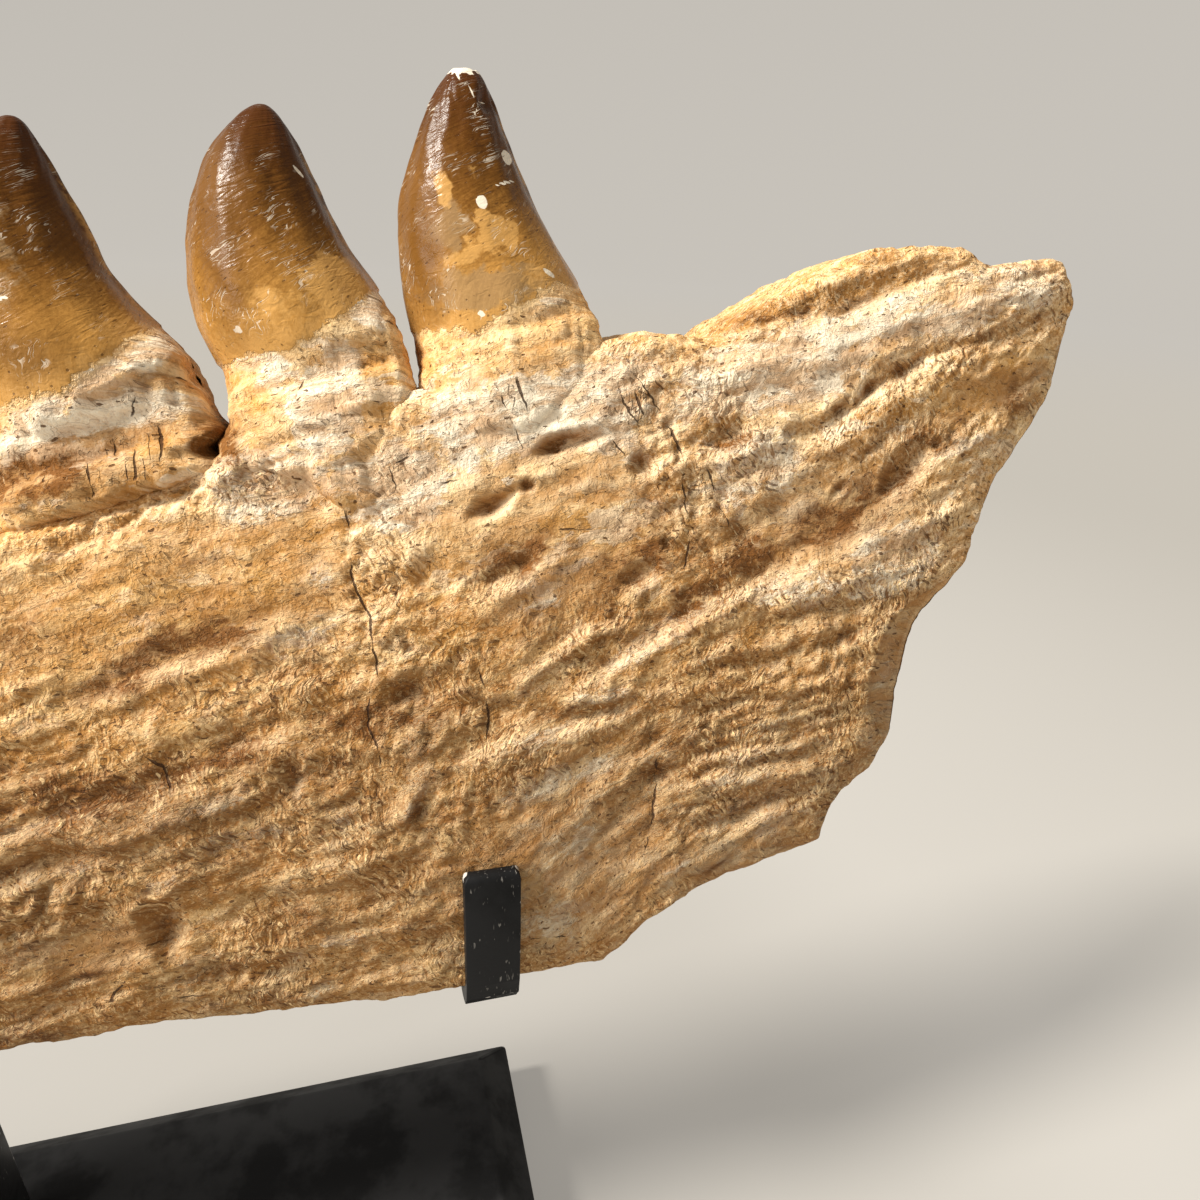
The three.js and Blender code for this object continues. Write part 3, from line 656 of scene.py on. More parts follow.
STAINS = (
    *stains(
        Tint.PALE,
        (163, 35.4, 26, 8, 8, 0.7), (166, 118.6, 32, 10, 8, 1.5), (189, 81.6, 22, 14, 20, 1.5),
        (132, 112, 22, 13, 10, 1.4), (82, 76, 14, 7, 20, 0.8), (198, 126, 36, 7, 12),
        (117, 110, 28, 14, 8, 1.2), (153, 112, 30, 9, 8), (163, 101, 14, 14, 10, 0.8), (56, 109, 30, 9, 10),
        (213, 132, 24, 10, 10, 1.1), (99, 99, 16, 13, 30, 1.3), (155.5, 98, 11, 10, 60, 1.2),
        (123, 17, 22, 14, 0, 0.7), (126, 34, 16, 11, 10, 0.7), (70, 43.4, 16, 6, 14, 0.7),
        (172.5, 76, 12, 5, 10, 0.8), (79, 100, 18, 12, 10, 1.2), (91, 100.6, 14, 9, 10, 0.8),
        (53, 107, 22, 8, 8, 1.2), (133.6, 105.7, 14, 9, 10, 0.7), (119.7, 80, 14, 8, 10, 0.7),
        (190, 57, 10, 34, 5, 0.4), (122, 37.6, 14, 8, 20, 0.5), (158, 26, 30, 8, 14, 0.4),
        (125, 26, 20, 10, 10, 0.35), (112, 88, 10, 6, 20, 0.4), (69, 89.6, 12, 6, 12, 0.5),
        (178, 112, 14, 3, 20, 0.6), (148, 116.6, 9, 6, 10, 0.8), (181, 126.5, 30, 7, 14),
        (165, 121, 26, 6, 5), (168, 113.4, 24, 7, 8, 0.8), (200, 134, 20, 6, 0, 0.5),
        (96.5, 101.5, 10, 8, 60), (109.5, 104, 7, 8, 70, 0.9), (104, 108, 10, 8, 30, 0.6),
        (158, 103.8, 14, 5, 15, 0.9), (165, 99.6, 16, 5, 20, 0.7), (155.5, 94, 6, 8, 60, 0.7),
        (142, 72, 26, 5, 28), (166, 78.6, 24, 6, 12, 0.9), (184, 83, 24, 7, 12, 0.6), (130, 62, 14, 2.6, 2),
        (119, 55, 20, 4, 10, 0.9), (119, 46.4, 16, 6, 20), (129, 47.6, 9, 5, 30, 0.9),
        (157, 47.6, 16, 3.4, 0), (156, 42.6, 30, 3, 2, 0.8), (168, 31.6, 20, 5, 8, 0.8),
        (146, 25, 12, 8, 20, 0.5), (97.6, 46.6, 3, 8, -30, 0.9), (84, 20.6, 10, 3, 5, 0.9),
        (75.8, 18.4, 3, 3, 0), (80, 10, 8, 4, 10, 0.6), (87, 44, 14, 6, 15, 0.5), (79.4, 51.6, 1.8, 4, 0),
        (48, 52.4, 30, 2.4, 15, 0.8), (65, 50, 22, 2.6, 10, 0.8), (45, 41.8, 16, 2.6, 10, 0.7),
        (58, 38, 12, 2.4, 35, 0.8), (84.6, 86, 8, 7, 30, 0.6), (38, 88, 16, 8, 12, 0.5),
        (60, 92, 20, 7, 10, 0.5), (202, 102.6, 16, 3, 15, 0.9), (200, 93, 12, 5, 20, 0.5),
        (124, 84.6, 16, 3, 14, 0.7),
    ),
    *stains(
        Tint.BROWN,
        (44, 79, 18, 8, 10, 0.6), (81, 69.6, 14, 7, 10, 0.6), (74, 57.4, 14, 7, 10, 0.8),
        (112.6, 66.8, 12, 8, 0, 0.6), (69, 9, 16, 9, 0, 0.6), (216, 111.4, 14, 9, 30, 0.8),
        (48, 101.4, 22, 7, 8, 1.3), (72.8, 106.2, 6, 7, 0, 1.5), (158, 84.4, 18, 9, 20, 1.2),
        (50, 53.6, 34, 8, 10, 1.1), (69, 58, 14, 7, 24), (75, 63.5, 14, 6, 20, 0.6),
        (86, 55.5, 10, 6, 10, 0.7), (92, 61.8, 28, 8, 0), (188, 97.2, 14, 8, 30, 1.1),
        (31.5, 9, 16, 12, 0, 0.9), (40, 55, 18, 8, 10), (67, 77.2, 22, 7, 12, 1.2),
        (56, 72, 16, 6, 14, 0.9), (118, 86.8, 18, 7, 14, 1.1), (119.6, 73, 12, 7, 14, 0.7),
        (133.6, 79, 14, 8, 20, 0.7), (77.4, 25.8, 14, 8, 0, 0.6), (35, 26.4, 14, 9, 0, 0.5),
        (98.8, 54, 12, 8, 0, 0.6), (177, 90.4, 26, 8, 18, 1.2), (164, 86.4, 12, 6, 20, 0.7),
        (139, 85.6, 20, 9, 10), (134, 76, 10, 14, 10, 0.5), (141, 92, 10, 8, 10, 0.5),
        (148.4, 78, 14, 8, 24, 1.1), (196, 104.6, 16, 7, 20), (58, 48, 60, 20, 14, 0.5),
        (56.4, 27, 3.6, 8, 6, 1.1), (63.5, 56.2, 10, 2.4, 16), (56, 57, 18, 5, 14, 0.6),
        (37, 43, 10, 3.4, 14), (39.8, 36, 3, 10, -20, 0.7), (44, 21.6, 6, 2, 10, 0.9),
        (38, 19.8, 5, 1.6, 10, 0.8), (63, 17.6, 10, 4, 10, 0.7), (84, 48, 8, 2, 20, 0.8),
        (97.4, 44, 3, 6, -30, 0.9), (78.4, 54, 4, 6, 0, 1.1), (98, 66.4, 9, 5, 20, 0.9),
        (108, 63.8, 12, 3, -10, 0.7), (125, 60, 16, 2.6, 5, 0.7), (122, 73.4, 12, 2.6, 22, 0.7),
        (138, 75, 18, 3, 27, 0.6), (190.8, 98.8, 9, 6, 38, 1.2), (186.8, 95.2, 5, 4, 30),
        (187.6, 116.6, 5, 2, 15, 1.2), (181.4, 113.6, 4, 2, 30, 1.3), (175.6, 110.2, 3, 1.6, 20, 1.4),
        (203.4, 122.4, 10, 2.4, 14, 0.9), (219.6, 126.2, 9, 2, 22, 0.9), (162, 126, 18, 2, 7, 1.1),
        (176.6, 96, 4, 2, 32, 0.9), (155, 105, 8, 3.4, 10, 1.2), (156.6, 87, 5, 8, 0, 0.9),
        (152, 94, 2.4, 8, -15, 0.8), (137.4, 82.8, 7, 4, 20, 0.9), (142, 88, 2, 2.4, 0, 1.6),
        (123.6, 104.6, 6, 3, 12, 1.4), (129, 105.8, 5, 1.4, 12, 0.8), (112.2, 95.4, 5, 2.4, 24, 1.2),
        (118.7, 98.5, 2.6, 2.4, 0, 1.3), (138.5, 101.3, 4.4, 3.8, 0, 0.8), (180.6, 68, 5, 3, 10),
        (181, 58, 5, 2, 5, 0.9), (176, 74, 30, 1.6, 2, 0.6), (168, 73, 20, 2, 8, 0.5),
        (141.6, 45.4, 3.4, 6, 80, 0.8), (141, 52.8, 2.4, 4, 80, 0.9), (145, 51, 8, 3, 0, 0.6),
        (71.4, 104.6, 4, 3, 30, 1.4), (58, 98.6, 26, 1.8, 8, 0.5), (154.6, 22.4, 8, 1.8, 45, 0.8),
        (164, 36.4, 20, 2.4, 8, 0.6), (184, 103.6, 10, 2, 35, 0.9), (155.6, 125.2, 10, 4.6, 14, 0.5),
        (65.6, 83.6, 18, 5.4, 12, 0.4), (163.5, 88.6, 7, 12, 0, 0.45), (110.4, 62.4, 3, 5, 10, 0.6),
        (168, 128.6, 18, 2, 10, 0.7),
    ),
    *stains(
        Tint.ORANGE,
        (60, 88, 76, 34, 10, 0.55), (52, 93, 34, 10, 8, 0.6), (141, 112, 12, 10, 10, 0.7),
        (62, 106.8, 12, 6, 0), (56, 90, 20, 8, 8, 1.1), (89, 94.5, 14, 8, 10, 1.1),
        (171.5, 83.6, 12, 8, 10, 0.9), (68, 83.5, 20, 9, 14, 0.9), (126.7, 93, 14, 7, 10, 0.9),
        (156, 125, 18, 9, 10, 1.5), (188, 111, 34, 6, 18, 0.8), (203, 110, 22, 8, 20, 0.7),
        (214, 119, 16, 5, 25, 0.7), (134, 118, 9, 5, 20, 0.5), (48, 56, 60, 40, 14, 0.4),
        (180, 129.8, 30, 6, 15, 1.1), (192.4, 134, 5, 4, 20, 0.8), (150, 107.6, 9, 3, 12, 1.2),
        (160, 112.4, 4, 2, 10, 0.7), (177, 115, 4, 7, 0, 0.7), (178, 121, 4, 5, 0, 0.6),
        (211, 107.4, 18, 4, 12, 0.9), (194, 96, 8, 3, 35, 0.8), (206.6, 117.8, 4, 2.6, 35),
        (103.5, 73, 9, 6, 20, 1.1), (140, 92.8, 8, 1.8, 0, 1.1), (137, 87.6, 14, 5, 5, 0.8),
        (75, 85, 14, 8, 30, 0.8), (57, 80, 26, 10, 15, 0.5), (140, 67, 22, 3.6, 22, 0.7),
        (172, 64, 22, 6, 4, 0.7), (166, 59.4, 26, 2.6, 2, 0.8), (128, 4.6, 14, 4, 0, 0.9),
        (176, 33.4, 8, 4, 10, 0.8), (106, 49.4, 14, 4, 10, 0.6), (90, 34.6, 8, 4, 30, 0.7),
        (90, 60, 6, 12, 10, 0.5), (60, 26, 10, 8, 30, 0.5), (33, 12, 14, 6, 10, 0.5),
        (114, 89, 20, 5, 18, 0.6), (205, 85, 10, 10, 60, 0.5), (40, 60, 30, 5, 16, 0.5),
    ),
    *stains(
        Tint.GREY,
        (150, 38, 90, 46, 10), (112, 26, 50, 36, 10, 0.8), (172, 90.6, 34, 14, 16),
        (134, 95.6, 30, 9, 2, 0.9), (196, 122.6, 34, 4, 16, 0.6), (210, 115, 26, 7, 12, 0.5),
        (168, 113.4, 22, 6, 8, 0.25), (190, 55, 14, 40, 5, 0.8), (152, 66.6, 24, 3, 6, 0.9),
        (46, 27, 16, 12, 10, 0.7), (34.6, 14.6, 4.4, 4, 40, 1.2), (74, 16.4, 8, 4, 20, 0.6),
        (88, 52, 16, 10, 0, 0.4), (86, 38, 24, 12, 20, 0.6), (122, 40, 26, 16, 20, 0.7),
        (192, 108, 20, 6, 20, 0.7), (178, 104, 14, 3, 25, 0.6),
    ),
)
# Roughly the direction of the key lamp, along X, W and V: the relief's flanks that face it get painted light,
# and those that face away painted shade.
SUNNY_SIDE = np.array((-0.69, -0.22, 0.69))


# ---- Which way the fibres run ----
class FibreField:
    """Distances along and across the bone's fibres, everywhere on its outer face, in mm.

    The fibres follow the long ridges and grooves. Their directions are spread over a coarse lattice, and the
    two distances are then fitted to them.
    """

    STEP = 3.0  # the lattice's
    LOW = (-132.0, -8.0)
    COUNT = (124, 52)
    REACH = 9.0  # how far a stroke turns the fibres beside it
    USUAL_SLOPE = math.radians(13.0)
    USUAL_WEIGHT = 0.02
    LEAST_LENGTH = 12.0  # of a stroke that turns them
    SAMPLE_STEP = 6.0
    FITTING_ROUNDS = 1200
    OVER_EDGE = (-1.0, 0.7)  # how much of W goes into the distances along and across

    def __init__(self, bends: tuple[Stroke, ...]) -> None:
        """Fits the distances to the directions of some strokes."""
        slope = self.spread(bends)
        self.across = self.fit(-np.sin(slope), np.cos(slope))
        self.along = self.fit(np.cos(slope), np.sin(slope))

    def spread(self, bends: tuple[Stroke, ...]) -> Grid:
        """The fibres' slope at each lattice point.

        Args:
            bends: the ridges and grooves that they follow.

        Returns:
            The slopes in radians.
        """
        lattice_x = self.LOW[0] + self.STEP * np.arange(self.COUNT[0])[:, None]
        lattice_v = self.LOW[1] + self.STEP * np.arange(self.COUNT[1])[None, :]
        weight = np.full(self.COUNT, self.USUAL_WEIGHT)
        total = weight * self.USUAL_SLOPE
        for stroke in bends:
            points = np.array(stroke.path, float)
            for (x0, v0), (x1, v1) in zip(points[:-1], points[1:]):
                length = math.hypot(x1 - x0, v1 - v0)
                if length * (len(points) - 1) < self.LEAST_LENGTH:
                    continue
                for share in np.linspace(0.0, 1.0, max(2, int(length / self.SAMPLE_STEP))):
                    off_x = lattice_x - (x0 + (x1 - x0) * share)
                    off_v = lattice_v - (v0 + (v1 - v0) * share)
                    near = np.exp(-(off_x**2 + off_v**2) / (2.0 * self.REACH**2))
                    weight += near
                    total += near * math.atan2(v1 - v0, x1 - x0)
        return total / weight

    def fit(self, slope_x: Grid, slope_v: Grid) -> Grid:
        """A distance whose slopes come closest to those asked for.

        Args:
            slope_x: the wanted slope along X at each lattice point.
            slope_v: the wanted slope up V.

        Returns:
            The distance at each lattice point.
        """
        step_x = 0.5 * (slope_x[1:] + slope_x[:-1]) * self.STEP
        step_v = 0.5 * (slope_v[:, 1:] + slope_v[:, :-1]) * self.STEP
        mean_x, mean_v = float(slope_x.mean()), float(slope_v.mean())
        index_x = np.arange(self.COUNT[0])[:, None] * self.STEP
        index_v = np.arange(self.COUNT[1])[None, :] * self.STEP
        distance = index_x * mean_x + index_v * mean_v
        share = np.zeros(self.COUNT)
        share[1:] += 1.0
        share[:-1] += 1.0
        share[:, 1:] += 1.0
        share[:, :-1] += 1.0
        for _ in range(self.FITTING_ROUNDS):
            total = np.zeros(self.COUNT)
            total[1:] += distance[:-1] + step_x
            total[:-1] += distance[1:] - step_x
            total[:, 1:] += distance[:, :-1] + step_v
            total[:, :-1] += distance[:, 1:] - step_v
            distance = total / share
        return distance

    def grain(self, x: Grid, v: Grid, w: Grid) -> Grid:
        """Distances along and across the fibres, which carry on round the edges.

        Args:
            x, v, w: the places, in mm.

        Returns:
            (along, across, 0) for each place, in metres.
        """
        along = self.read(self.along, x, v) + self.OVER_EDGE[0] * w
        across = self.read(self.across, x, v) + self.OVER_EDGE[1] * w
        return np.stack([along, across, 0.0 * x], axis=-1) * MM

    def read(self, lattice: Grid, x: Grid, v: Grid) -> Grid:
        """A lattice's values between its points."""
        u = np.clip((x - self.LOW[0]) / self.STEP, 0.0, self.COUNT[0] - 1.001)
        t = np.clip((v - self.LOW[1]) / self.STEP, 0.0, self.COUNT[1] - 1.001)
        column, row = u.astype(int), t.astype(int)
        part_u, part_t = u - column, t - row
        low = lattice[column, row] * (1 - part_u) + lattice[column + 1, row] * part_u
        high = lattice[column, row + 1] * (1 - part_u) + lattice[column + 1, row + 1] * part_u
        return low * (1 - part_t) + high * part_t


# ---- Materials ----
class Nodes:
    """A short way to write a material's nodes."""

    def __init__(self, name: str) -> None:
        """Makes an empty material with a shader on its output."""
        self.material = bpy.data.materials.new(name)
        self.material.use_nodes = True
        self.tree = self.material.node_tree
        self.tree.nodes.clear()
        self.shader = self.tree.nodes.new("ShaderNodeBsdfPrincipled")
        output = self.tree.nodes.new("ShaderNodeOutputMaterial")
        self.tree.links.new(self.shader.outputs["BSDF"], output.inputs["Surface"])

    def feed(self, socket: Socket, value: object) -> None:
        """Links an output to a socket, or sets the socket's own value."""
        if isinstance(value, Socket):
            self.tree.links.new(value, socket)
        elif value is not None:
            socket.default_value = value

    def node(self, kind: str, feeds: dict[str | int, object], **settings: object) -> bpy.types.Node:
        """Adds a node.

        Args:
            kind: its type, as Blender names it, without the word Shader.
            feeds: what its inputs get, by their names or numbers.
            settings: its own settings.

        Returns:
            The node.
        """
        node = self.tree.nodes.new("ShaderNode" + kind)
        for key, value in settings.items():
            setattr(node, key, value)
        for key, value in feeds.items():
            self.feed(node.inputs[key], value)
        return node

    def object_place(self) -> Socket:
        """Places on the piece, in metres."""
        return self.node("TexCoord", {}).outputs["Object"]

    def stored(self, name: str, vector: bool = False) -> Socket:
        """Numbers kept on the mesh."""
        return self.node("Attribute", {}, attribute_name=name).outputs["Vector" if vector else "Fac"]

    def stretched(self, vector: Socket, scale: Triple, turn: Triple = (0, 0, 0)) -> Socket:
        """A vector scaled on each axis, and turned."""
        feeds = {"Vector": vector, "Scale": scale, "Rotation": turn}
        return self.node("Mapping", feeds).outputs["Vector"]

    def slanted(self, grain: Socket, turn: float) -> Socket:
        """The grain turned by an angle in degrees and drawn out, for marks that lie at that angle."""
        turned = self.stretched(grain, (1.0, 1.0, 1.0), (0.0, 0.0, math.radians(turn)))
        return self.stretched(turned, (0.30, 1.0, 1.0))

    def noise(
        self, vector: Socket, scale: float, detail: float = 3.0, roughness: float = 0.55, flat: bool = False
    ) -> Socket:
        """Soft noise, 0 to 1 and mostly near the middle.

        Args:
            vector: where it is read.
            scale: its fineness.
            detail: how many finer layers it has.
            roughness: how strong those are.
            flat: whether only X and Y count.

        Returns:
            The noise.
        """
        feeds = {"Vector": vector, "Scale": scale, "Detail": detail, "Roughness": roughness}
        return self.node("TexNoise", feeds, noise_dimensions="2D" if flat else "3D").outputs["Fac"]

    def cells(self, vector: Socket, scale: float, flat: bool = False) -> bpy.types.Node:
        """Scattered cells, which tell how far each place is from its cell's middle.

        Args:
            vector: where they are read.
            scale: how many there are to a metre.
            flat: whether only X and Y count.

        Returns:
            The node.
        """
        feeds = {"Vector": vector, "Scale": scale}
        return self.node("TexVoronoi", feeds, voronoi_dimensions="2D" if flat else "3D")

    def dots(self, cells: bpy.types.Node, low: float, high: float, size: float, soft: float) -> Socket:
        """A dot of its own size in each cell.

        Args:
            cells: the cells.
            low: the cell's number, 0 to 1, up to which it has no dot.
            high: the number at which its dot is largest.
            size: the largest dot's radius, as a share of a cell.
            soft: the width of its edge.

        Returns:
            1 in the dots and 0 elsewhere.
        """
        radius = self.ramp(cells.outputs["Color"], low, high, 0.0, size)
        return self.ramp(self.maths("SUBTRACT", radius, cells.outputs["Distance"]), 0.0, soft)

    def ramp(self, value: Socket, low: float, high: float, start: float = 0.0, end: float = 1.0) -> Socket:
        """A smooth change from start to end while a value goes from low to high.

        Args:
            value: what is read.
            low: where the change begins.
            high: where it is complete.
            start: the result at low.
            end: the result at high.

        Returns:
            The changed value.
        """
        feeds = {"Value": value, "From Min": low, "From Max": high, "To Min": start, "To Max": end}
        return self.node("MapRange", feeds, interpolation_type="SMOOTHSTEP").outputs["Result"]

    def maths(self, kind: str, *values: object) -> Socket:
        """One step of arithmetic, named as Blender names it."""
        return self.node("Math", dict(enumerate(values)), operation=kind).outputs["Value"]

    def times(self, first: object, second: object) -> Socket:
        """Two values multiplied."""
        return self.maths("MULTIPLY", first, second)

    def scaled(self, value: object, factor: object, offset: object) -> Socket:
        """A value times a factor, plus an offset."""
        return self.maths("MULTIPLY_ADD", value, factor, offset)

    def centred(self, value: Socket) -> Socket:
        """A value of 0 to 1, less a half."""
        return self.maths("SUBTRACT", value, 0.5)

    def mix(self, share: object, first: object, second: object, kind: str = "MIX") -> Socket:
        """Two colours mixed.

        Args:
            share: how much of the second there is.
            first: the colour below, or an output.
            second: the colour laid over it, or an output.
            kind: how it is laid, as Blender names it.

        Returns:
            The mixed colour.
        """
        feeds = {"Factor": share}
        for index, value in ((6, first), (7, second)):
            feeds[index] = (*value, 1.0) if isinstance(value, tuple) else value
        return self.node("Mix", feeds, data_type="RGBA", blend_type=kind, clamp_factor=True).outputs[2]

    def gradient(self, value: Socket, stops: tuple[tuple[float, Colour], ...]) -> Socket:
        """A colour that changes with a value.

        Args:
            value: what is read, 0 to 1.
            stops: the colours and the values at which they stand.

        Returns:
            The colour.
        """
        node = self.node("ValToRGB", {"Fac": value})
        elements = node.color_ramp.elements
        for index, (place, colour) in enumerate(stops):
            element = elements[index] if index < 2 else elements.new(place)
            element.position = place
            element.color = (*colour, 1.0)
        return node.outputs["Color"]

    def bend_vector(self, vector: Socket, scale: float, amount: float, flat: bool = False) -> Socket:
        """A vector pushed about by coloured noise.

        Args:
            vector: what is pushed.
            scale: the noise's fineness.
            amount: how far it is pushed, in the vector's own unit.
            flat: whether only the vector's X and Y count.

        Returns:
            The pushed vector.
        """
        feeds = {"Vector": vector, "Scale": scale, "Detail": 1.0}
        noise = self.node("TexNoise", feeds, noise_dimensions="2D" if flat else "3D")
        centred = self.node("VectorMath", {0: noise.outputs["Color"], 1: (0.5,) * 3}, operation="SUBTRACT")
        feeds = {0: centred.outputs["Vector"], 1: (amount,) * 3, 2: vector}
        return self.node("VectorMath", feeds, operation="MULTIPLY_ADD").outputs["Vector"]

    def finish(self, colour: Socket, height: Socket, depth: float, roughness: object, shine: float) -> None:
        """Feeds the shader.

        Args:
            colour: the surface's colour.
            height: its bumps, 0 to 1.
            depth: the bumps' height in metres.
            roughness: its roughness.
            shine: the strength of its gloss.
        """
        bump = self.node("Bump", {"Strength": 1.0, "Distance": depth, "Height": height})
        inputs = self.shader.inputs
        self.feed(inputs["Base Color"], colour)
        self.feed(inputs["Roughness"], roughness)
        self.feed(inputs["Normal"], bump.outputs["Normal"])
        inputs["Specular IOR Level"].default_value = shine


class Coat:
    """A colour that is built up in layers."""

    def __init__(self, nodes: Nodes, colour: object) -> None:
        """Starts from the lowest layer."""
        self.nodes = nodes
        self.colour = colour

    def lay(self, tint: object, share: object, factor: object = None, kind: str = "MIX") -> None:
        """Lays a tint over what is there.

        Args:
            tint: a colour, or an output.
            share: how much of it there is.
            factor: what that share is multiplied by.
            kind: how it is laid, as Blender names it.
        """
        if factor is not None:
            share = self.nodes.times(share, factor)
        self.colour = self.nodes.mix(share, self.colour, tint, kind)


class BonePatterns:
    """The patterns that the bone's colour and its bumps share, each 0 to 1."""

    def __init__(self, nodes: Nodes) -> None:
        """Makes the patterns, most of them from the grain that is kept on the mesh."""
        grain = nodes.stored("grain", vector=True)
        calm, bleached = nodes.stored("calm"), nodes.stored("bleached")
        self.nodes = nodes
        self.place = nodes.object_place()
        self.wavy = nodes.bend_vector(grain, 260.0, 0.0018, flat=True)
        self.crooked = nodes.bend_vector(grain, 520.0, 0.0011, flat=True)
        self.patches = self.drawn_out(0.45, 125.0, 5.0, 0.66)
        self.mottle = self.drawn_out(0.6, 430.0, 3.0, 0.72)
        self.flakes = self.drawn_out(0.30, 250.0, 4.0, 0.68)
        self.torn = self.drawn_out(0.55, 300.0, 5.0, 0.75)
        self.blots = self.drawn_out(0.5, 170.0, 5.0, 0.72)
        self.speckle = nodes.noise(self.place, 1500.0, 2.0, 0.7)
        self.ragged = nodes.ramp(self.torn, 0.36, 0.64, 0.4, 1.3)
        busy = nodes.ramp(nodes.noise(self.place, 75.0, 1.0, 0.6), 0.40, 0.60, 0.12, 1.0)
        busy = nodes.times(busy, nodes.scaled(calm, -0.7, 1.0))
        self.busy = nodes.times(busy, nodes.scaled(bleached, -0.3, 1.0))  # full of fine marks
        self.clear = nodes.scaled(bleached, -0.35, nodes.scaled(calm, -0.6, 1.0))  # clearly mottled

    def drawn_out(self, stretch: float, scale: float, detail: float, roughness: float) -> Socket:
        """Noise that is drawn out along the fibres."""
        vector = self.nodes.stretched(self.wavy, (stretch, 1.0, 1.0))
        return self.nodes.noise(vector, scale, detail, roughness, flat=True)


@dataclass(frozen=True)
class BoneFinish:
    """Dry fibrous fossil bone: cream and ochre, full of tiny drawn-out pores, brown in its hollows partly as
    painted shade, with painted light and shade on the flanks of its relief.
    """

    cream: Colour = (0.88, 0.57, 0.245)
    tan: Colour = (0.72, 0.39, 0.13)
    ochre: Colour = (0.54, 0.245, 0.058)
    brown: Colour = (0.20, 0.08, 0.018)
    dark: Colour = (0.055, 0.022, 0.008)
    pore: Colour = (0.11, 0.042, 0.011)
    # darkens and browns the lower part of the face
    lower_tone: Colour = (0.52, 0.46, 0.38)
    orange: Colour = (0.60, 0.305, 0.075)
    grey: Colour = (0.43, 0.30, 0.175)
    pale: Colour = (0.95, 0.78, 0.53)
    bleach: Colour = (0.97, 0.68, 0.34)
    chalk: Colour = (0.96, 0.86, 0.68)
    # laid as the bone's stain, and as painted shade in its hollows and on flanks turned from the key lamp
    stain_and_shade: Colour = (0.33, 0.135, 0.028)
    flake_levels: tuple[float, ...] = (0.44, 0.50, 0.56)  # of the flakes' noise, where one lies on the next
    # marks at an angle to the fibres: (the angle in degrees, how many fit in a metre)
    hatches: Path = ((68.0, 1450.0), (108.0, 1560.0))
    slits: Path = ((76.0, 960.0), (24.0, 800.0))
    bright_dashes: tuple[float, float] = (96.0, 980.0)
    depth: float = 0.0007  # of its bumps
    roughness: float = 0.8
    shine: float = 0.25

    def colour(self, nodes: Nodes) -> tuple[Socket, Socket]:
        """The bone's colour, and the height of its fibres, flakes and pores."""
        patterns = BonePatterns(nodes)
        coat = self.ground(nodes, patterns)
        height = self.lay_marks(nodes, patterns, coat)
        return coat.colour, height

    def ground(self, nodes: Nodes, patterns: BonePatterns) -> Coat:
        """The bone's larger patches of colour and its stains, with its crests paler, partly as painted light.

        Args:
            nodes: the material that is being made.
            patterns: the bone's patterns.

        Returns:
            The coat so far.
        """
        coat = Coat(nodes, self.ochre)
        coat.lay(self.tan, nodes.ramp(nodes.noise(patterns.place, 30.0, 3.0, 0.6), 0.36, 0.64))
        coat.lay(self.cream, nodes.ramp(patterns.patches, 0.44, 0.56))
        coat.lay(self.bleach, nodes.stored("bleached"))
        coat.lay(self.orange, nodes.ramp(patterns.blots, 0.535, 0.575, 0.0, 0.55), patterns.clear)
        # The crest share pales the relief's crests: partly the bone's own tone, partly painted light.
        tints = {"grey": self.grey, "orange": self.orange, "pale": self.pale, "crest": self.pale}
        for name, tint in tints.items():
            coat.lay(tint, nodes.stored(name), patterns.ragged)
        torn = nodes.centred(patterns.torn)
        edged = nodes.scaled(torn, 1.5, nodes.stored("pale"))
        coat.lay(self.chalk, nodes.ramp(edged, 0.50, 0.64, 0.0, 0.8))
        edged = nodes.scaled(torn, 1.8, nodes.stored("orange"))
        coat.lay(self.orange, nodes.ramp(edged, 0.50, 0.62, 0.0, 0.6))
        for level in self.flake_levels:
            coat.lay(self.ochre, nodes.ramp(patterns.flakes, level - 0.004, level + 0.012, 0.28, 0.0))
        flecks = nodes.scaled(nodes.stored("bleached"), 0.5, 0.2)
        coat.lay(self.chalk, nodes.ramp(patterns.patches, 0.60, 0.63), flecks)
        return coat

    def lay_marks(self, nodes: Nodes, patterns: BonePatterns, coat: Coat) -> Socket:
        """Lays the bone's mottling, its painted shade and light, its darker lower part and its fine marks.

        Args:
            nodes: the material that is being made.
            patterns: the bone's patterns.
            coat: the colour that they lie on.

        Returns:
            The height of the bone's fine surface.
        """
        busy, clear, mottle, speckle = patterns.busy, patterns.clear, patterns.mottle, patterns.speckle
        hatch = self.hatching(nodes, patterns)
        spark = nodes.mix(nodes.stored("bleached"), self.bleach, self.pale)
        sparks = nodes.scaled(nodes.stored("brown"), -0.6, 1.0)
        coat.lay(spark, nodes.ramp(mottle, 0.53, 0.58, 0.0, 0.42), clear)
        coat.lay(self.orange, nodes.ramp(mottle, 0.45, 0.39, 0.0, 0.5), clear)
        # The hollow share darkens and browns the relief's hollows: partly the bone's stain, partly painted
        # shade. The lee and lit shares darken and pale the flanks that turn away from and towards the key lamp:
        # painted shade and light.
        coat.lay(self.stain_and_shade, nodes.stored("hollow"), patterns.ragged)
        coat.lay(self.stain_and_shade, nodes.stored("lee_shade"), 1.1)
        coat.lay(self.pale, nodes.stored("lit"))
        coat.lay(self.brown, nodes.stored("brown"), patterns.ragged)
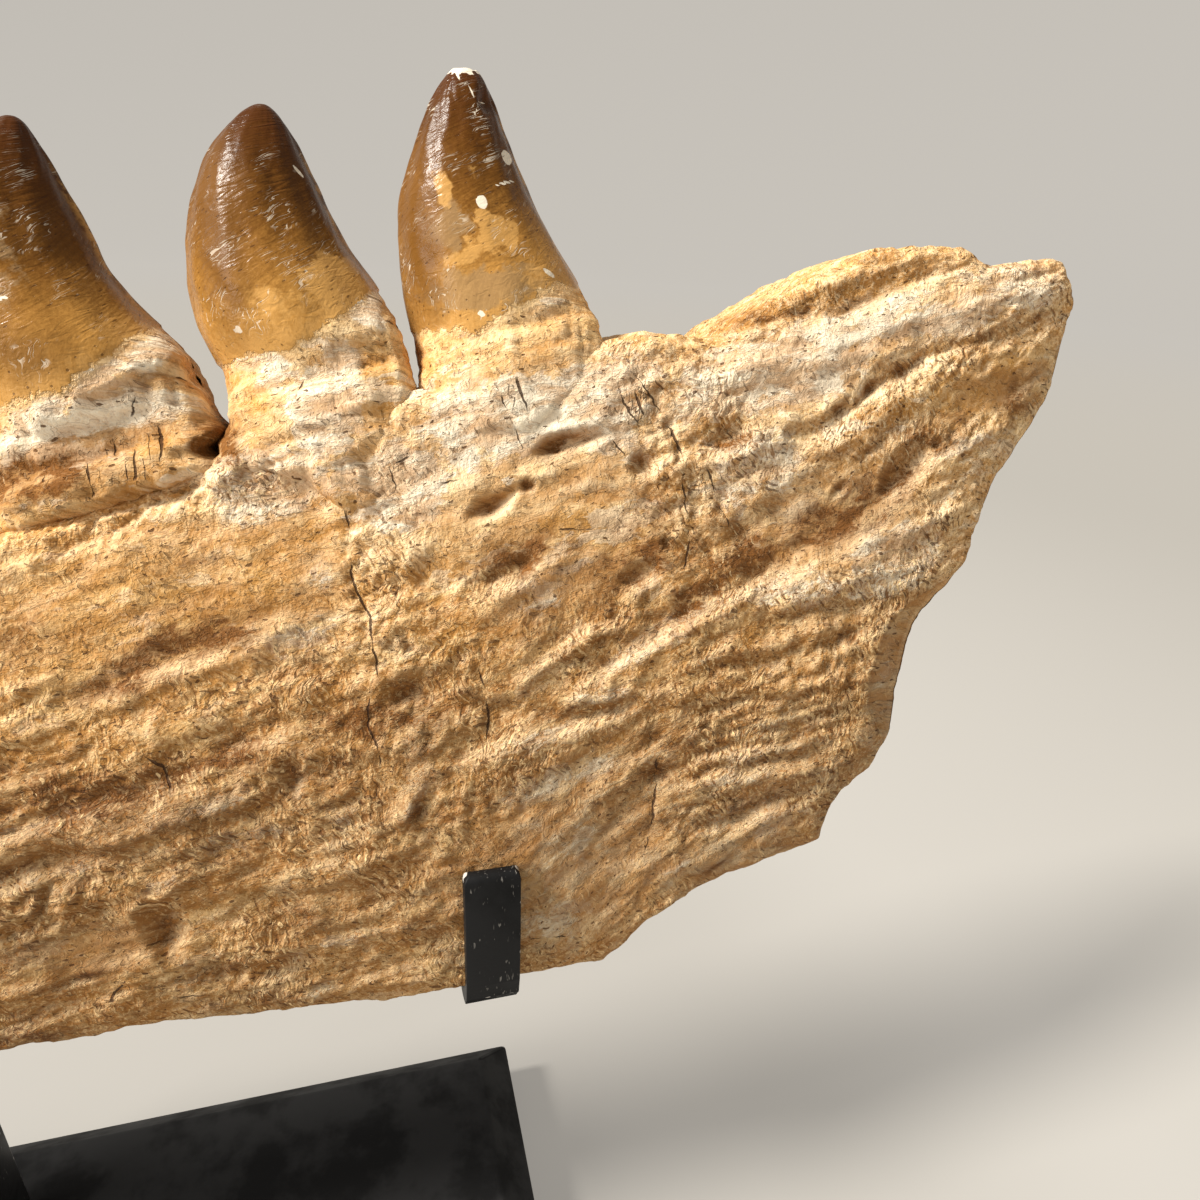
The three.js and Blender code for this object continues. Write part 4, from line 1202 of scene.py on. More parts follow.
        # Darker and browner towards the bottom of the face.
        coat.lay(self.lower_tone, nodes.stored("lower_tone"), 0.74, "MULTIPLY")
        coat.lay(spark, nodes.times(nodes.ramp(hatch, 0.62, 0.70, 0.0, 0.6), busy), sparks)
        faint = nodes.times(nodes.scaled(nodes.stored("lower_tone"), -0.45, clear), sparks)
        coat.lay(spark, nodes.ramp(speckle, 0.54, 0.66, 0.0, 0.6), faint)
        coat.lay(self.stain_and_shade, nodes.ramp(speckle, 0.46, 0.34, 0.0, 0.7), clear)
        coat.lay(self.brown, nodes.times(nodes.ramp(hatch, 0.39, 0.34), busy), 0.85)

        pores = nodes.cells(nodes.stretched(patterns.crooked, (0.5, 1.0, 1.0)), 760.0, flat=True)
        pore = nodes.dots(pores, 0.42, 0.95, 0.16, 0.05)
        coat.lay(self.pore, pore, 0.85)
        bright = self.dashes(nodes, patterns, *self.bright_dashes)
        coat.lay(spark, bright, nodes.times(busy, 0.75))
        slit = nodes.maths("MAXIMUM", *[self.dashes(nodes, patterns, *kind) for kind in self.slits])
        coat.lay(self.pore, slit, nodes.scaled(busy, 0.45, 0.3))
        fissure = self.fissure(nodes, patterns.place)
        coat.lay(self.dark, fissure, 0.9)

        height = nodes.times(nodes.times(hatch, busy), 0.55)
        for level in self.flake_levels:
            height = nodes.maths("ADD", height, nodes.ramp(patterns.flakes, level, level + 0.016, 0.0, 0.18))
        deep = nodes.maths("MAXIMUM", pore, slit)
        mottled = nodes.times(mottle, clear)
        for pattern, rise in ((mottled, 0.6), (speckle, 0.28), (deep, -0.35), (fissure, -0.6), (bright, 0.2)):
            height = nodes.scaled(pattern, rise, height)
        return height

    def fissure(self, nodes: Nodes, place: Socket) -> Socket:
        """1 in the narrow crooked line of each crack, and 0 elsewhere."""
        wobble = nodes.centred(nodes.noise(place, 620.0, 2.0))
        off = nodes.maths("ABSOLUTE", nodes.maths("ADD", wobble, nodes.stored("fissure")))
        half_width = nodes.ramp(nodes.noise(place, 190.0, 1.0), 0.34, 0.66, -0.10, 0.26)
        line = nodes.ramp(nodes.maths("SUBTRACT", half_width, off), 0.0, 0.14)
        return nodes.times(line, nodes.ramp(nodes.stored("crack"), 0.05, 0.6))

    def dashes(self, nodes: Nodes, patterns: BonePatterns, turn: float, scale: float) -> Socket:
        """1 in short dashes at an angle to the fibres, and 0 elsewhere."""
        cells = nodes.cells(nodes.slanted(patterns.crooked, turn), scale, flat=True)
        return nodes.dots(cells, 0.42, 0.95, 0.23, 0.05)

    def hatching(self, nodes: Nodes, patterns: BonePatterns) -> Socket:
        """Short crooked marks, mostly across the fibres, as noise about 0.5."""
        share = nodes.ramp(nodes.noise(patterns.place, 110.0, 1.0), 0.47, 0.53)
        first, second = (
            nodes.noise(nodes.slanted(patterns.wavy, turn), scale, 1.5, 0.5, flat=True)
            for turn, scale in self.hatches
        )
        return nodes.scaled(nodes.maths("SUBTRACT", second, first), share, first)

    def make(self) -> bpy.types.Material:
        """The finished material."""
        nodes = Nodes("fossil_bone")
        colour, height = self.colour(nodes)
        nodes.finish(colour, height, self.depth, self.roughness, self.shine)
        return nodes.material


@dataclass(frozen=True)
class ToothFinish:
    """Glossy enamel, dark brown at the tip and amber at the base, on a root like the bone."""

    bone: BoneFinish
    # (height up the crown, colour), from the enamel's lower edge to the tip
    crown: tuple[tuple[float, Colour], ...] = (
        (0.0, (0.54, 0.29, 0.085)), (0.14, (0.42, 0.21, 0.05)), (0.32, (0.27, 0.125, 0.026)),
        (0.50, (0.15, 0.062, 0.011)), (0.72, (0.085, 0.031, 0.005)), (1.0, (0.065, 0.02, 0.004)),
    )
    gold: Colour = (0.60, 0.33, 0.10)
    grey: Colour = (0.30, 0.195, 0.095)
    speck: Colour = (0.05, 0.018, 0.007)
    # painted shade down the crowns' left flanks
    flank: Colour = (0.15, 0.064, 0.013)
    white: Colour = (0.88, 0.80, 0.65)
    depth: float = 0.0006  # of its bumps
    shine: float = 0.13

    def enamel(self, nodes: Nodes, share: Socket) -> tuple[Socket, Socket, Socket]:
        """The crown's colour, height and roughness.

        Args:
            nodes: the material that is being made.
            share: how scuffed each place is.

        Returns:
            The colour, the height and the roughness.
        """
        place = nodes.object_place()
        sweep = nodes.stored("sweep", vector=True)
        upright = nodes.stretched(sweep, (1.0, 1.0, 1.0), (0.0, 0.0, math.pi / 2))
        streaks = nodes.noise(nodes.stretched(upright, (0.10, 1.0, 1.0)), 1300.0, 2.0, 0.6, flat=True)
        cloud = nodes.noise(place, 120.0, 4.0, 0.65)
        fine = nodes.noise(place, 1700.0, 2.0, 0.7)
        level = nodes.stored("level")
        for pattern, strength in ((cloud, 0.34), (streaks, 0.22), (fine, 0.30)):
            level = nodes.scaled(nodes.centred(pattern), strength, level)
        coat = Coat(nodes, nodes.gradient(level, self.crown))
        ragged = nodes.centred(nodes.noise(place, 330.0, 4.0, 0.7))
        # (which stains, their tint, how ragged their edges are, where they are full, how strong)
        marks = (
            ("grey", self.grey, 1.4, 0.62, 0.6),
            ("orange", self.gold, 1.4, 0.62, 0.7),
            ("pale", self.white, 0.5, 0.5, 0.9),
        )
        for name, tint, tear, full, strength in marks:
            patch = nodes.scaled(ragged, tear, nodes.stored(name))
            coat.lay(tint, nodes.ramp(patch, 0.38, full, 0.0, strength))
        # Painted shade: the brown marks down the crowns' left flanks, which face the key lamp, darken them.
        coat.lay(self.flank, nodes.stored("brown"), 0.8)
        # Painted light: a warm amber line along each crown's rear edge, where light shines through the enamel.
        coat.lay(self.gold, nodes.times(nodes.stored("keel"), nodes.ramp(ragged, -0.12, 0.08)), 0.8)
        speck = nodes.dots(nodes.cells(upright, 900.0, flat=True), 0.55, 0.98, 0.24, 0.06)
        coat.lay(self.speck, speck, 0.6)
        crooked = nodes.bend_vector(upright, 420.0, 0.0034, flat=True)
        scratch = nodes.noise(nodes.stretched(crooked, (0.22, 1.0, 1.0)), 3000.0, 1.0, flat=True)
        scratches = nodes.times(nodes.ramp(scratch, 0.61, 0.68), nodes.ramp(share, 0.50, 0.66))
        coat.lay(self.white, scratches, 0.45)
        ripple = nodes.noise(nodes.stretched(crooked, (1.0, 0.22, 1.0)), 750.0, 1.5, 0.6, flat=True)
        height = nodes.times(streaks, 0.5)
        for pattern, rise in ((scratches, -0.6), (fine, 0.7), (ripple, 2.2), (speck, -0.5)):
            height = nodes.scaled(pattern, rise, height)
        roughness = nodes.scaled(scratches, 0.3, nodes.scaled(share, 0.24, 0.15))
        return coat.colour, height, roughness

    def make(self) -> bpy.types.Material:
        """The finished material."""
        nodes = Nodes("tooth_enamel")
        root, root_height = self.bone.colour(nodes)
        place = nodes.object_place()
        frayed = nodes.centred(nodes.noise(place, 430.0, 4.0, 0.7))
        margin = nodes.scaled(frayed, 5.0, nodes.stored("margin"))
        enamel = nodes.ramp(margin, 0.35, -0.35)
        bare = nodes.ramp(margin, -0.5, 1.6)
        crown, crown_height, crown_roughness = self.enamel(nodes, nodes.noise(place, 230.0, 3.0, 0.6))
        root = nodes.mix(nodes.ramp(margin, 1.4, 0.2, 0.0, 0.45), root, self.bone.bleach)
        root_height = nodes.times(nodes.maths("SUBTRACT", root_height, 0.8), bare)
        height = nodes.scaled(crown_height, nodes.times(enamel, 0.11), root_height)
        roughness = nodes.scaled(crown_roughness, enamel, nodes.times(bare, self.bone.roughness))
        nodes.finish(nodes.mix(enamel, root, crown), height, self.depth, roughness, self.shine)
        return nodes.material


@dataclass(frozen=True)
class PaintFinish:
    """Black paint, with scratches, with chips along the edges and with painted shade on its rounded edges."""

    name: str
    colour: Colour
    worn: Colour
    roughness: float
    scratch_share: float
    chip_share: float
    shine: float
    # how dark the painted shade on its rounded edges is
    rim_shade: float = 0.0

    CLOUD_SHADE = 0.45  # how dark its darker clouds are, as a share of the colour
    VARIATION = 0.08  # of its roughness
    DEPTH = 0.00005  # of its bumps, in metres

    def make(self) -> bpy.types.Material:
        """The finished material."""
        nodes = Nodes(self.name)
        place = nodes.object_place()
        cloud = nodes.noise(place, 60.0, 4.0, 0.6)
        fine = nodes.noise(place, 1500.0, 2.0, 0.6)
        lines = nodes.noise(nodes.stretched(place, (1.0, 1.0, 0.22), (0.5, 0.9, 0.0)), 2300.0, 1.0)
        worn_here = nodes.ramp(nodes.noise(place, 240.0, 2.0), 0.5, 0.66)
        scratches = nodes.times(nodes.times(nodes.ramp(lines, 0.64, 0.70), self.scratch_share), worn_here)
        flakes = nodes.cells(nodes.bend_vector(place, 900.0, 0.0008), 420.0).outputs
        flake = nodes.times(nodes.ramp(flakes["Distance"], 0.30, 0.22), nodes.stored("edge"))
        chips = nodes.times(nodes.times(flake, nodes.ramp(flakes["Color"], 0.60, 0.64)), self.chip_share)
        coat = Coat(nodes, self.colour)
        coat.lay(tuple(value * self.CLOUD_SHADE for value in self.colour), nodes.ramp(cloud, 0.42, 0.62))
        coat.lay((0.0, 0.0, 0.0), nodes.stored("edge"), self.rim_shade)
        coat.lay(self.worn, scratches)
        coat.lay(self.worn, chips)
        height = nodes.scaled(chips, -1.5, nodes.times(fine, 0.5))
        low, high = self.roughness - self.VARIATION, self.roughness + self.VARIATION
        nodes.finish(coat.colour, height, self.DEPTH, nodes.ramp(cloud, 0.35, 0.65, low, high), self.shine)
        return nodes.material


# ---- The bone ----
@dataclass
class JawBone:
    """The fossil bone: one closed skin round its outer face, upper rim, inner face and lower rim.

    Edges are lists of (x, v), from the broken front end to the tip of the torn rear end.
    """

    top_edge: Path = (
        (-126, 57), (-122, 59), (-110, 61.5), (-90, 65), (-60, 70), (-30, 76), (0, 82.5), (25, 89),
        (38, 92.5), (53, 97.5), (69, 102.5), (73, 105), (80, 107.4), (102, 113.5), (133, 121.5), (139, 123.5),
        (144, 122.5), (154, 123), (157, 125.5), (165, 130), (173, 134), (183, 137.5), (193, 138.5),
        (200, 138.5), (204.5, 136.5), (212.5, 136), (218, 137), (225.5, 137.5), (228, 133.5), (230, 128.5),
    )
    bottom_edge: Path = (
        (-126, 8), (-120, 3), (-114, 1.4), (-104, 1.2), (-85, 2.4), (-60, 4.4), (-20, 5.7), (28, 5.2),
        (55, 4.2), (84, 1.7), (100, 1), (124, 0.8), (133, 0.8), (138, 4.5), (142, 9), (148, 13.5),
        (155, 16), (164, 17.8), (173, 19.8), (180.5, 21.5), (182, 28), (184.5, 32), (190.5, 36),
        (193, 39.5), (195.5, 44), (196.5, 54), (198.5, 62), (200, 67.5), (203, 71), (207.5, 74.5),
        (210.5, 79), (213, 89), (215.5, 95), (219, 99.5), (223.5, 105.5), (227, 110.5), (228.5, 116),
        (230, 126.5),
    )
    half_thickness: Path = (
        (-126, 14.5), (-114, 16.2), (-60, 16.2), (0, 16.4), (110, 16.6), (135, 16.2), (160, 15.4),
        (190, 14.2), (215, 12), (230, 8),
    )
    # (distance from an edge, the share of its half thickness that the bone has there)
    lower_fullness: Path = (
        (0, 0.3), (1, 0.46), (3, 0.58), (6, 0.65), (9, 0.69), (18, 0.8), (33, 0.93), (50, 1),
    )
    torn_fullness: Path = ((0, 0.5), (1, 0.62), (3, 0.76), (9, 0.9), (18, 0.96), (33, 1))
    upper_fullness: Path = ((0, 0.72), (1.5, 0.86), (6, 0.93), (20, 0.97), (40, 1))
    seen_from: float = 18.0  # the finer part of the skin starts here
    tear_from: float = 133.0  # and here the lower edge leaves the bone's margin for the tear
    columns: tuple[int, int, int] = (60, 190, 206)  # sections before seen_from, up to tear_from, and after it
    outer_rows: int = 158
    upper_rows: int = 12
    inner_rows: int = 32
    lower_rows: int = 6
    front_rings: int = 12  # over the broken front end
    tip_rings: int = 2  # over the torn tip
    relief: float = 0.78  # how strong the outer face's relief is
    calming: float = 0.72  # how much of it the calm zones take away
    # (x, how bleached its upper part is), and (x, the height at which its lower part starts to brown)
    bleaching: Path = ((76, 0.15), (92, 0.8), (132, 0.8), (146, 0.6), (190, 0.55), (206, 0.3))
    browning: Path = ((30, 78), (90, 84), (110, 100), (150, 104), (200, 108))
    seed: int = 41
    noise: dict[str, Noise] = field(default_factory=dict)

    def __post_init__(self) -> None:
        """Draws the noise that the bone's roughness is made of."""
        for offset, name in enumerate(("swell", "fibre", "fine", "lump", "edge", "inner", "warp", "zone")):
            self.noise[name] = Noise(self.seed + offset)

    def sections(self) -> tuple[Grid, Grid]:
        """The lower and the upper end of each section, as two arrays of (x, v)."""
        front, middle, rear = self.columns
        plain = np.concatenate([
            np.linspace(self.top_edge[0][0], self.seen_from, front, endpoint=False),
            np.linspace(self.seen_from, self.tear_from, middle, endpoint=False),
        ])
        low = np.stack([plain, between(self.bottom_edge, plain)], axis=-1)
        high = np.stack([plain, between(self.top_edge, plain)], axis=-1)
        low = np.concatenate([low, self.spaced(self.bottom_edge, rear)])
        high = np.concatenate([high, self.spaced(self.top_edge, rear)])
        for _ in range(2):
            low[1:-1] = 0.5 * low[1:-1] + 0.25 * (low[:-2] + low[2:])
            high[1:-1] = 0.5 * high[1:-1] + 0.25 * (high[:-2] + high[2:])
        for edge, sign, first in ((low, 1.0, 0.25), (high, -1.0, 0.5)):
            step = np.gradient(edge, axis=0)
            inward = np.stack([-step[:, 1], step[:, 0]], axis=-1) * sign
            inward /= np.linalg.norm(inward, axis=1, keepdims=True)
            ragged = self.noise["edge"].layered(edge[:, 0] / 6.0 + 11.0, edge[:, 1] / 6.0, 3)
            torn = ease(edge[:, 0], 128.0, 140.0)
            depth = np.maximum(ragged + 0.25, 0.0) * (first + 0.35 * torn) * ease(edge[:, 0], 230.0, 224.0)
            edge += inward * depth[:, None]
        return low, high

    def spaced(self, edge: Path, count: int) -> Grid:
        """So many evenly spaced points along an edge, from tear_from to its end."""
        start = (self.tear_from, float(between(edge, np.array([self.tear_from]))[0]))
        points = np.array([start, *[point for point in edge if point[0] > self.tear_from]], float)
        lengths = np.concatenate([[0.0], np.cumsum(np.linalg.norm(np.diff(points, axis=0), axis=1))])
        wanted = np.linspace(0.0, lengths[-1], count)
        return np.stack([np.interp(wanted, lengths, points[:, axis]) for axis in (0, 1)], axis=-1)

    def edge_distance(self, edge: Grid, x: Grid, v: Grid) -> Grid:
        """How far each place is from an edge, in mm."""
        best = np.full(x.shape, 1e9)
        for (x0, v0), (x1, v1) in zip(edge[:-1], edge[1:]):
            step_x, step_v = x1 - x0, v1 - v0
            share = ((x - x0) * step_x + (v - v0) * step_v) / (step_x**2 + step_v**2)
            share = np.clip(share, 0.0, 1.0)
            best = np.minimum(best, (x - x0 - share * step_x) ** 2 + (v - v0 - share * step_v) ** 2)
        return np.sqrt(best)

    def half(self, x: Grid, from_low: Grid, from_high: Grid) -> Grid:
        """Half the bone's thickness.

        Args:
            x: distance along the jaw.
            from_low: distance from the lower edge.
            from_high: distance from the upper edge.

        Returns:
            The half thickness in mm.
        """
        low = between(self.lower_fullness, from_low)
        low = 0.5 * low + 0.5 * rounded(self.lower_fullness, from_low, 2.0)
        low = low + (rounded(self.torn_fullness, from_low, 1.0) - low) * ease(x, self.tear_from, 150.0)
        high = rounded(self.upper_fullness, from_high, 0.8)
        sharpness = 28.0
        fullness = -np.logaddexp(-low * sharpness, -high * sharpness) / sharpness + 0.02
        return rounded(self.half_thickness, x, 8.0) * np.minimum(fullness, 1.0)

    def skin(self) -> dict[str, Grid]:
        """The smooth skin before its roughness.

        Returns:
            x, v and w of each point, girth (the way round the section from the lower outer edge), outer (1 on
            the outer face and 0 on the inner), and the distances low and high from the two edges.
        """
        low, high = self.sections()
        share = np.linspace(0.0, 1.0, self.outer_rows)
        share = 0.7 * share + 0.3 * (0.5 - 0.5 * np.cos(math.pi * share))
        back_share = np.linspace(1.0, 0.0, self.inner_rows)
        up = np.concatenate([share, np.ones(self.upper_rows), back_share, np.zeros(self.lower_rows)])
        crossing_up = np.linspace(-1.0, 1.0, self.upper_rows + 2)[1:-1]
        crossing_down = np.linspace(1.0, -1.0, self.lower_rows + 2)[1:-1]
        outer_side, inner_side = -np.ones(self.outer_rows), np.ones(self.inner_rows)
        side = np.concatenate([outer_side, crossing_up, inner_side, crossing_down])
        up = np.append(up, up[0])
        side = np.append(side, side[0])
        x = low[:, 0:1] + (high[:, 0:1] - low[:, 0:1]) * up
        v = low[:, 1:2] + (high[:, 1:2] - low[:, 1:2]) * up
        from_low = self.edge_distance(low, x, v)
        from_high = self.edge_distance(high, x, v)
        w = self.half(x, from_low, from_high) * side
        w = w * np.where(side < 0, lean_back(v), 1.0)
        steps = np.hypot(np.diff(v, axis=1), np.diff(w, axis=1))
        girth = np.concatenate([np.zeros((len(x), 1)), np.cumsum(steps, axis=1)], axis=1)
        outer = np.broadcast_to(0.5 - 0.5 * side, x.shape).copy()
        return {"x": x, "v": v, "w": w, "girth": girth, "outer": outer, "low": from_low, "high": from_high}

    def upright_zone(self, x: Grid, v: Grid) -> Grid:
        """1 where the fibres stand upright, under the teeth, and 0 elsewhere."""
        top = between(self.top_edge, x)
        depth = between(((40, 7), (60, 5), (73, 9), (84, 15), (92, 17), (100, 9), (130, 7), (136, 0)), x)
        ragged = self.noise["zone"].layered(x / 5.0, v / 5.0, 3) * 3.5
        return ease(depth - (top - v + ragged), -1.5, 1.5) * ease(x, 30, 36) * ease(x, 136, 128)

    def face_relief(
        self, x: Grid, v: Grid, from_low: Grid, fibres: FibreField
    ) -> tuple[Grid, tuple[Grid, Grid], Grid]:
        """The relief of the outer face.

        Args:
            x, v: the places, in mm.
            from_low: distance from the lower edge.
            fibres: which way the fibres run.

        Returns:
            The rise in mm, where its cracks run, and where it is calm, 0 to 1.
        """
        warp_x = x + self.noise["warp"].layered(x / 9.0, v / 9.0, 3) * 1.1
        warp_v = v + self.noise["warp"].layered(x / 9.0 + 40.0, v / 9.0 + 40.0, 3) * 0.9
        along = fibres.read(fibres.along, x, v)
        across = fibres.read(fibres.across, x, v)
        upright = self.upright_zone(x, v)

        fine_x = x + (warp_x - x) * 0.45
        fine_v = v + (warp_v - v) * 0.45
        marks = mark_all(RIDGES + GROOVES, warp_x, warp_v) + mark_all((*PITS, PANEL), fine_x, fine_v)
        cracks = mark_all(CRACKS, fine_x, fine_v)
        cracks = cracks * ease(self.noise["zone"].layered(x / 3.6, v / 3.6, 2), -0.35, 0.25)
        calm = 1.0 - self.calming * zone_share(CALM_ZONES, warp_x, warp_v)
        rough = zone_share(ROUGH_ZONES, warp_x, warp_v)
        facet_width = between(TEAR_FACET, v)
        facet = ease(facet_width - from_low, 0.0, 1.2) * ease(x, 150.0, 158.0)

        swell = self.noise["swell"].layered(along / 60.0, across / 8.5, 2)
        swell = (1.0 - 2.0 * np.abs(swell)) * 0.2
        fibre = self.noise["fibre"].layered(along / 20.0, across / 2.7, 3)
        fibre = (0.6 - np.abs(fibre)) * 0.34
        standing = self.noise["fibre"].layered(v / 14.0 + 50.0, x / 2.2, 3)
        standing = (0.6 - np.abs(standing)) * 0.5
        fibre = fibre + (standing - fibre) * upright
        swell = swell * (1.0 - 0.8 * upright)
        fine = self.noise["fine"].layered(along / 4.2, across / 1.8, 3) * 0.24
        lump = self.noise["lump"].layered(x / 13.0, v / 13.0, 4) * 0.45
        grit = self.noise["edge"].layered(x / 3.4, v / 3.4, 3) * 0.22
        nicks = self.noise["warp"].layered(x / 3.1 + 80.0, v / 2.6 + 20.0, 3)
        nicks = (0.35 - np.abs(nicks)) * 1.1 * rough
        flakes = self.noise["inner"].layered(along / 17.0 + 30.0, across / 6.0, 4)
        flakes = sum(ease(flakes, level, level + 0.08) for level in (-0.02, 0.28, -0.34)) - 1.5
        flakes = flakes * 0.27 * (0.45 + 0.55 * calm) * (1.0 - 0.6 * upright)
        marks = marks * (1.0 - 0.3 * ease(x, 136.0, 156.0))
        rise = marks + cracks + (swell + fibre + fine + grit) * calm + nicks + flakes
        rise = rise * (1.0 - 0.85 * facet) + lump * (1.0 - 0.5 * facet)
        rise = rise - 0.16 * np.maximum(facet_width - from_low, 0.0) * (x > 150) - 0.3 * facet
        smooth = np.maximum((1.0 - calm) / self.calming, facet) * (1.0 - rough)
        return rise, crack_lines(CRACKS, fine_x, fine_v), smooth

    def roughness(self, skin: dict[str, Grid], fibres: FibreField) -> dict[str, Grid]:
        """The relief of the outer face and of the rest, and what the finish needs to know of it.

        Args:
            skin: the smooth skin.
            fibres: which way the fibres run.

        Returns:
            rise in mm, crack, fissure and calm.
        """
        x, v, girth = skin["x"], skin["v"], skin["girth"]
        outer_rise, (beside, signed), calm = self.face_relief(x, v, skin["low"], fibres)
        outer_rise = outer_rise + mark_all(ROOT_BEDS, x, v)
        inner_rise = self.noise["inner"].layered(x / 26.0, girth / 7.0, 4) * 0.55
        inner_rise += self.noise["fine"].layered(x / 7.0, girth / 2.6, 2) * 0.16
        inner_rise += self.inner_groove(x, v)
        share = ease(skin["outer"], 0.25, 0.95)
        rise = outer_rise * self.relief * share + inner_rise * (1.0 - share)
        rise = rise * (0.45 + 0.55 * ease(np.minimum(skin["low"], skin["high"]), 0.0, 3.0))
        return {
            "rise": rise,
            "crack": beside * share * ease(skin["low"], 0.5, 3.0),
            "fissure": signed,
            "calm": calm * share,
        }

    def inner_groove(self, x: Grid, v: Grid) -> Grid:
        """The long shallow groove down the inner face, in mm."""
        groove = Stroke(((-120, 20), (-40, 24), (40, 30), (110, 40), (160, 62)), -2.2, 9.0, 5.0, 0.1)
        return mark_all((groove,), x, v)

    def build(self, fibres: FibreField) -> Piece:
        """The bone as one mesh, with what its finish needs.

        Args:
            fibres: which way the fibres run.

        Returns:
            The piece.
        """
        skin = self.skin()
        rough = self.roughness(skin, fibres)
        smooth = np.stack([skin["x"], skin["w"], skin["v"]], axis=-1)
        normals = surface_normals(smooth)
        rise = rough["rise"]
        rise[0] = 0.0
        points = smooth + normals * rise[..., None]
        points[..., 0] = np.minimum(points[..., 0], self.top_edge[-1][0] - 0.05)
        share = ease(skin["outer"], 0.25, 0.95)
        near = soften(rise, 5)
        far = soften(rise, 45)
        values = stain_all(STAINS, skin["x"], skin["v"], share)
        # The hollow and crest shares darken the relief's hollows and pale its crests: partly the bone's own
        # tone, partly painted shade and light.
        fine, broad = rise - near, near - far
        values["hollow"] = np.clip(-1.3 * fine, 0.0, 0.45) + np.clip(-0.55 * broad - 0.12, 0.0, 0.75)
        values["crest"] = np.clip(1.2 * fine, 0.0, 0.35) + np.clip(0.5 * broad - 0.1, 0.0, 0.6)
        for name in ("crack", "fissure", "calm"):
            values[name] = rough[name]
        # Painted light and shade: the lit share pales the relief where it turns towards the key lamp, and the
        # lee share darkens it where it turns away.
        tilt = ((surface_normals(points) - normals) * SUNNY_SIDE).sum(axis=-1)
        values["lit"] = np.clip(tilt, 0.0, 0.5) * share
        values["lee_shade"] = np.clip(-tilt, 0.0, 0.5) * share
        values.update(self.tone_by_height(skin["x"], skin["v"]))
        points, values = self.closed_ends(points, values)
        values["grain"] = fibres.grain(points[..., 0], points[..., 2], points[..., 1])
        placed = AXES.place(points[..., 0], points[..., 2], points[..., 1])
        return wrapped_sheet("fossil_jaw_bone", placed, values)

    def tone_by_height(self, x: Grid, v: Grid) -> dict[str, Grid]:
        """How bleached the upper part is, and how browned the lower part, each 0 to 1."""
        wander = v + 8.0 * self.noise["zone"].layered(x / 22.0, v / 22.0, 3)
        share = between(self.bleaching, x)
        bleached = share * ease(wander + 8.0 * ease(x, 150.0, 200.0), 78.0, 104.0)
        return {"bleached": bleached, "lower_tone": ease(wander, between(self.browning, x), 42.0)}

    def closed_ends(self, points: Grid, values: dict[str, Grid]) -> tuple[Grid, dict[str, Grid]]:
        """Adds rings that shrink to a point over the broken front end and the torn tip."""
        front, rear = self.fan(points[0], self.front_rings, 0.9), self.fan(points[-1], self.tip_rings, 0.0)
        points = np.concatenate([front[::-1], points, rear])
        points[..., 0] = np.maximum(points[..., 0], self.top_edge[0][0])
        repeats = np.ones(len(points) - self.front_rings - self.tip_rings, int)
        repeats[0] += self.front_rings
        repeats[-1] += self.tip_rings
        return points, {name: np.repeat(grid, repeats, axis=0) for name, grid in values.items()}

    def fan(self, ring: Grid, count: int, broken: float) -> Grid:
        """Rings that shrink from an end ring to its middle.

        Args:
            ring: the end ring's points.
            count: how many rings there are.
            broken: how far the broken face is let in, in mm.

        Returns:
            The rings' points.
        """
        shares = np.linspace(0.0, 1.0, count + 1)[1:, None, None]
        fan = ring + (ring[:-1].mean(axis=0) - ring) * shares
        rough = self.noise["edge"].layered(fan[..., 1] / 4.0, fan[..., 2] / 4.0, 4)
        fan[..., 0] += np.maximum(broken * (1.0 + rough), 0.0) * ease(shares[..., 0], 0.0, 0.25)
        fan[-1] = fan[-1].mean(axis=0)
        return fan


# ---- The teeth ----
class Profile(Enum):
    """Side views of a tooth, from its tip down: (drop, reach to the front, reach to the rear), mm."""

    REAR = (
        (0.8, 1.8, 2.6), (4, 4, 4.4), (8.5, 6.2, 5.8), (14, 8.4, 8), (20, 10.3, 10.6), (27, 10.9, 14.9),
        (33, 10.6, 18.8), (40, 9.6, 20.6), (44.5, 9.2, 20.8), (60, 9.2, 20.4),
    )
    MIDDLE = (
        (0.8, 2.2, 1.6), (4, 5.6, 3.6), (8.5, 8.8, 5.5), (14, 11, 7.9), (20, 12.3, 10.6), (26.5, 12.8, 15.3),
        (33, 11.8, 18.6), (37, 9.9, 19.4), (41, 8.2, 19.4), (47, 8, 19.4), (58, 9, 19),
    )
    THIRD = (
        (0.8, 2, 1.6), (4, 5.6, 3.2), (8.5, 8.8, 5), (14, 11, 7.2), (20, 12.2, 9.2), (26.5, 12.6, 14),
        (31, 12, 18.6), (37, 10.5, 20.8), (42, 9.2, 22.8), (47, 8.4, 23.6), (60, 8, 23.6),
    )


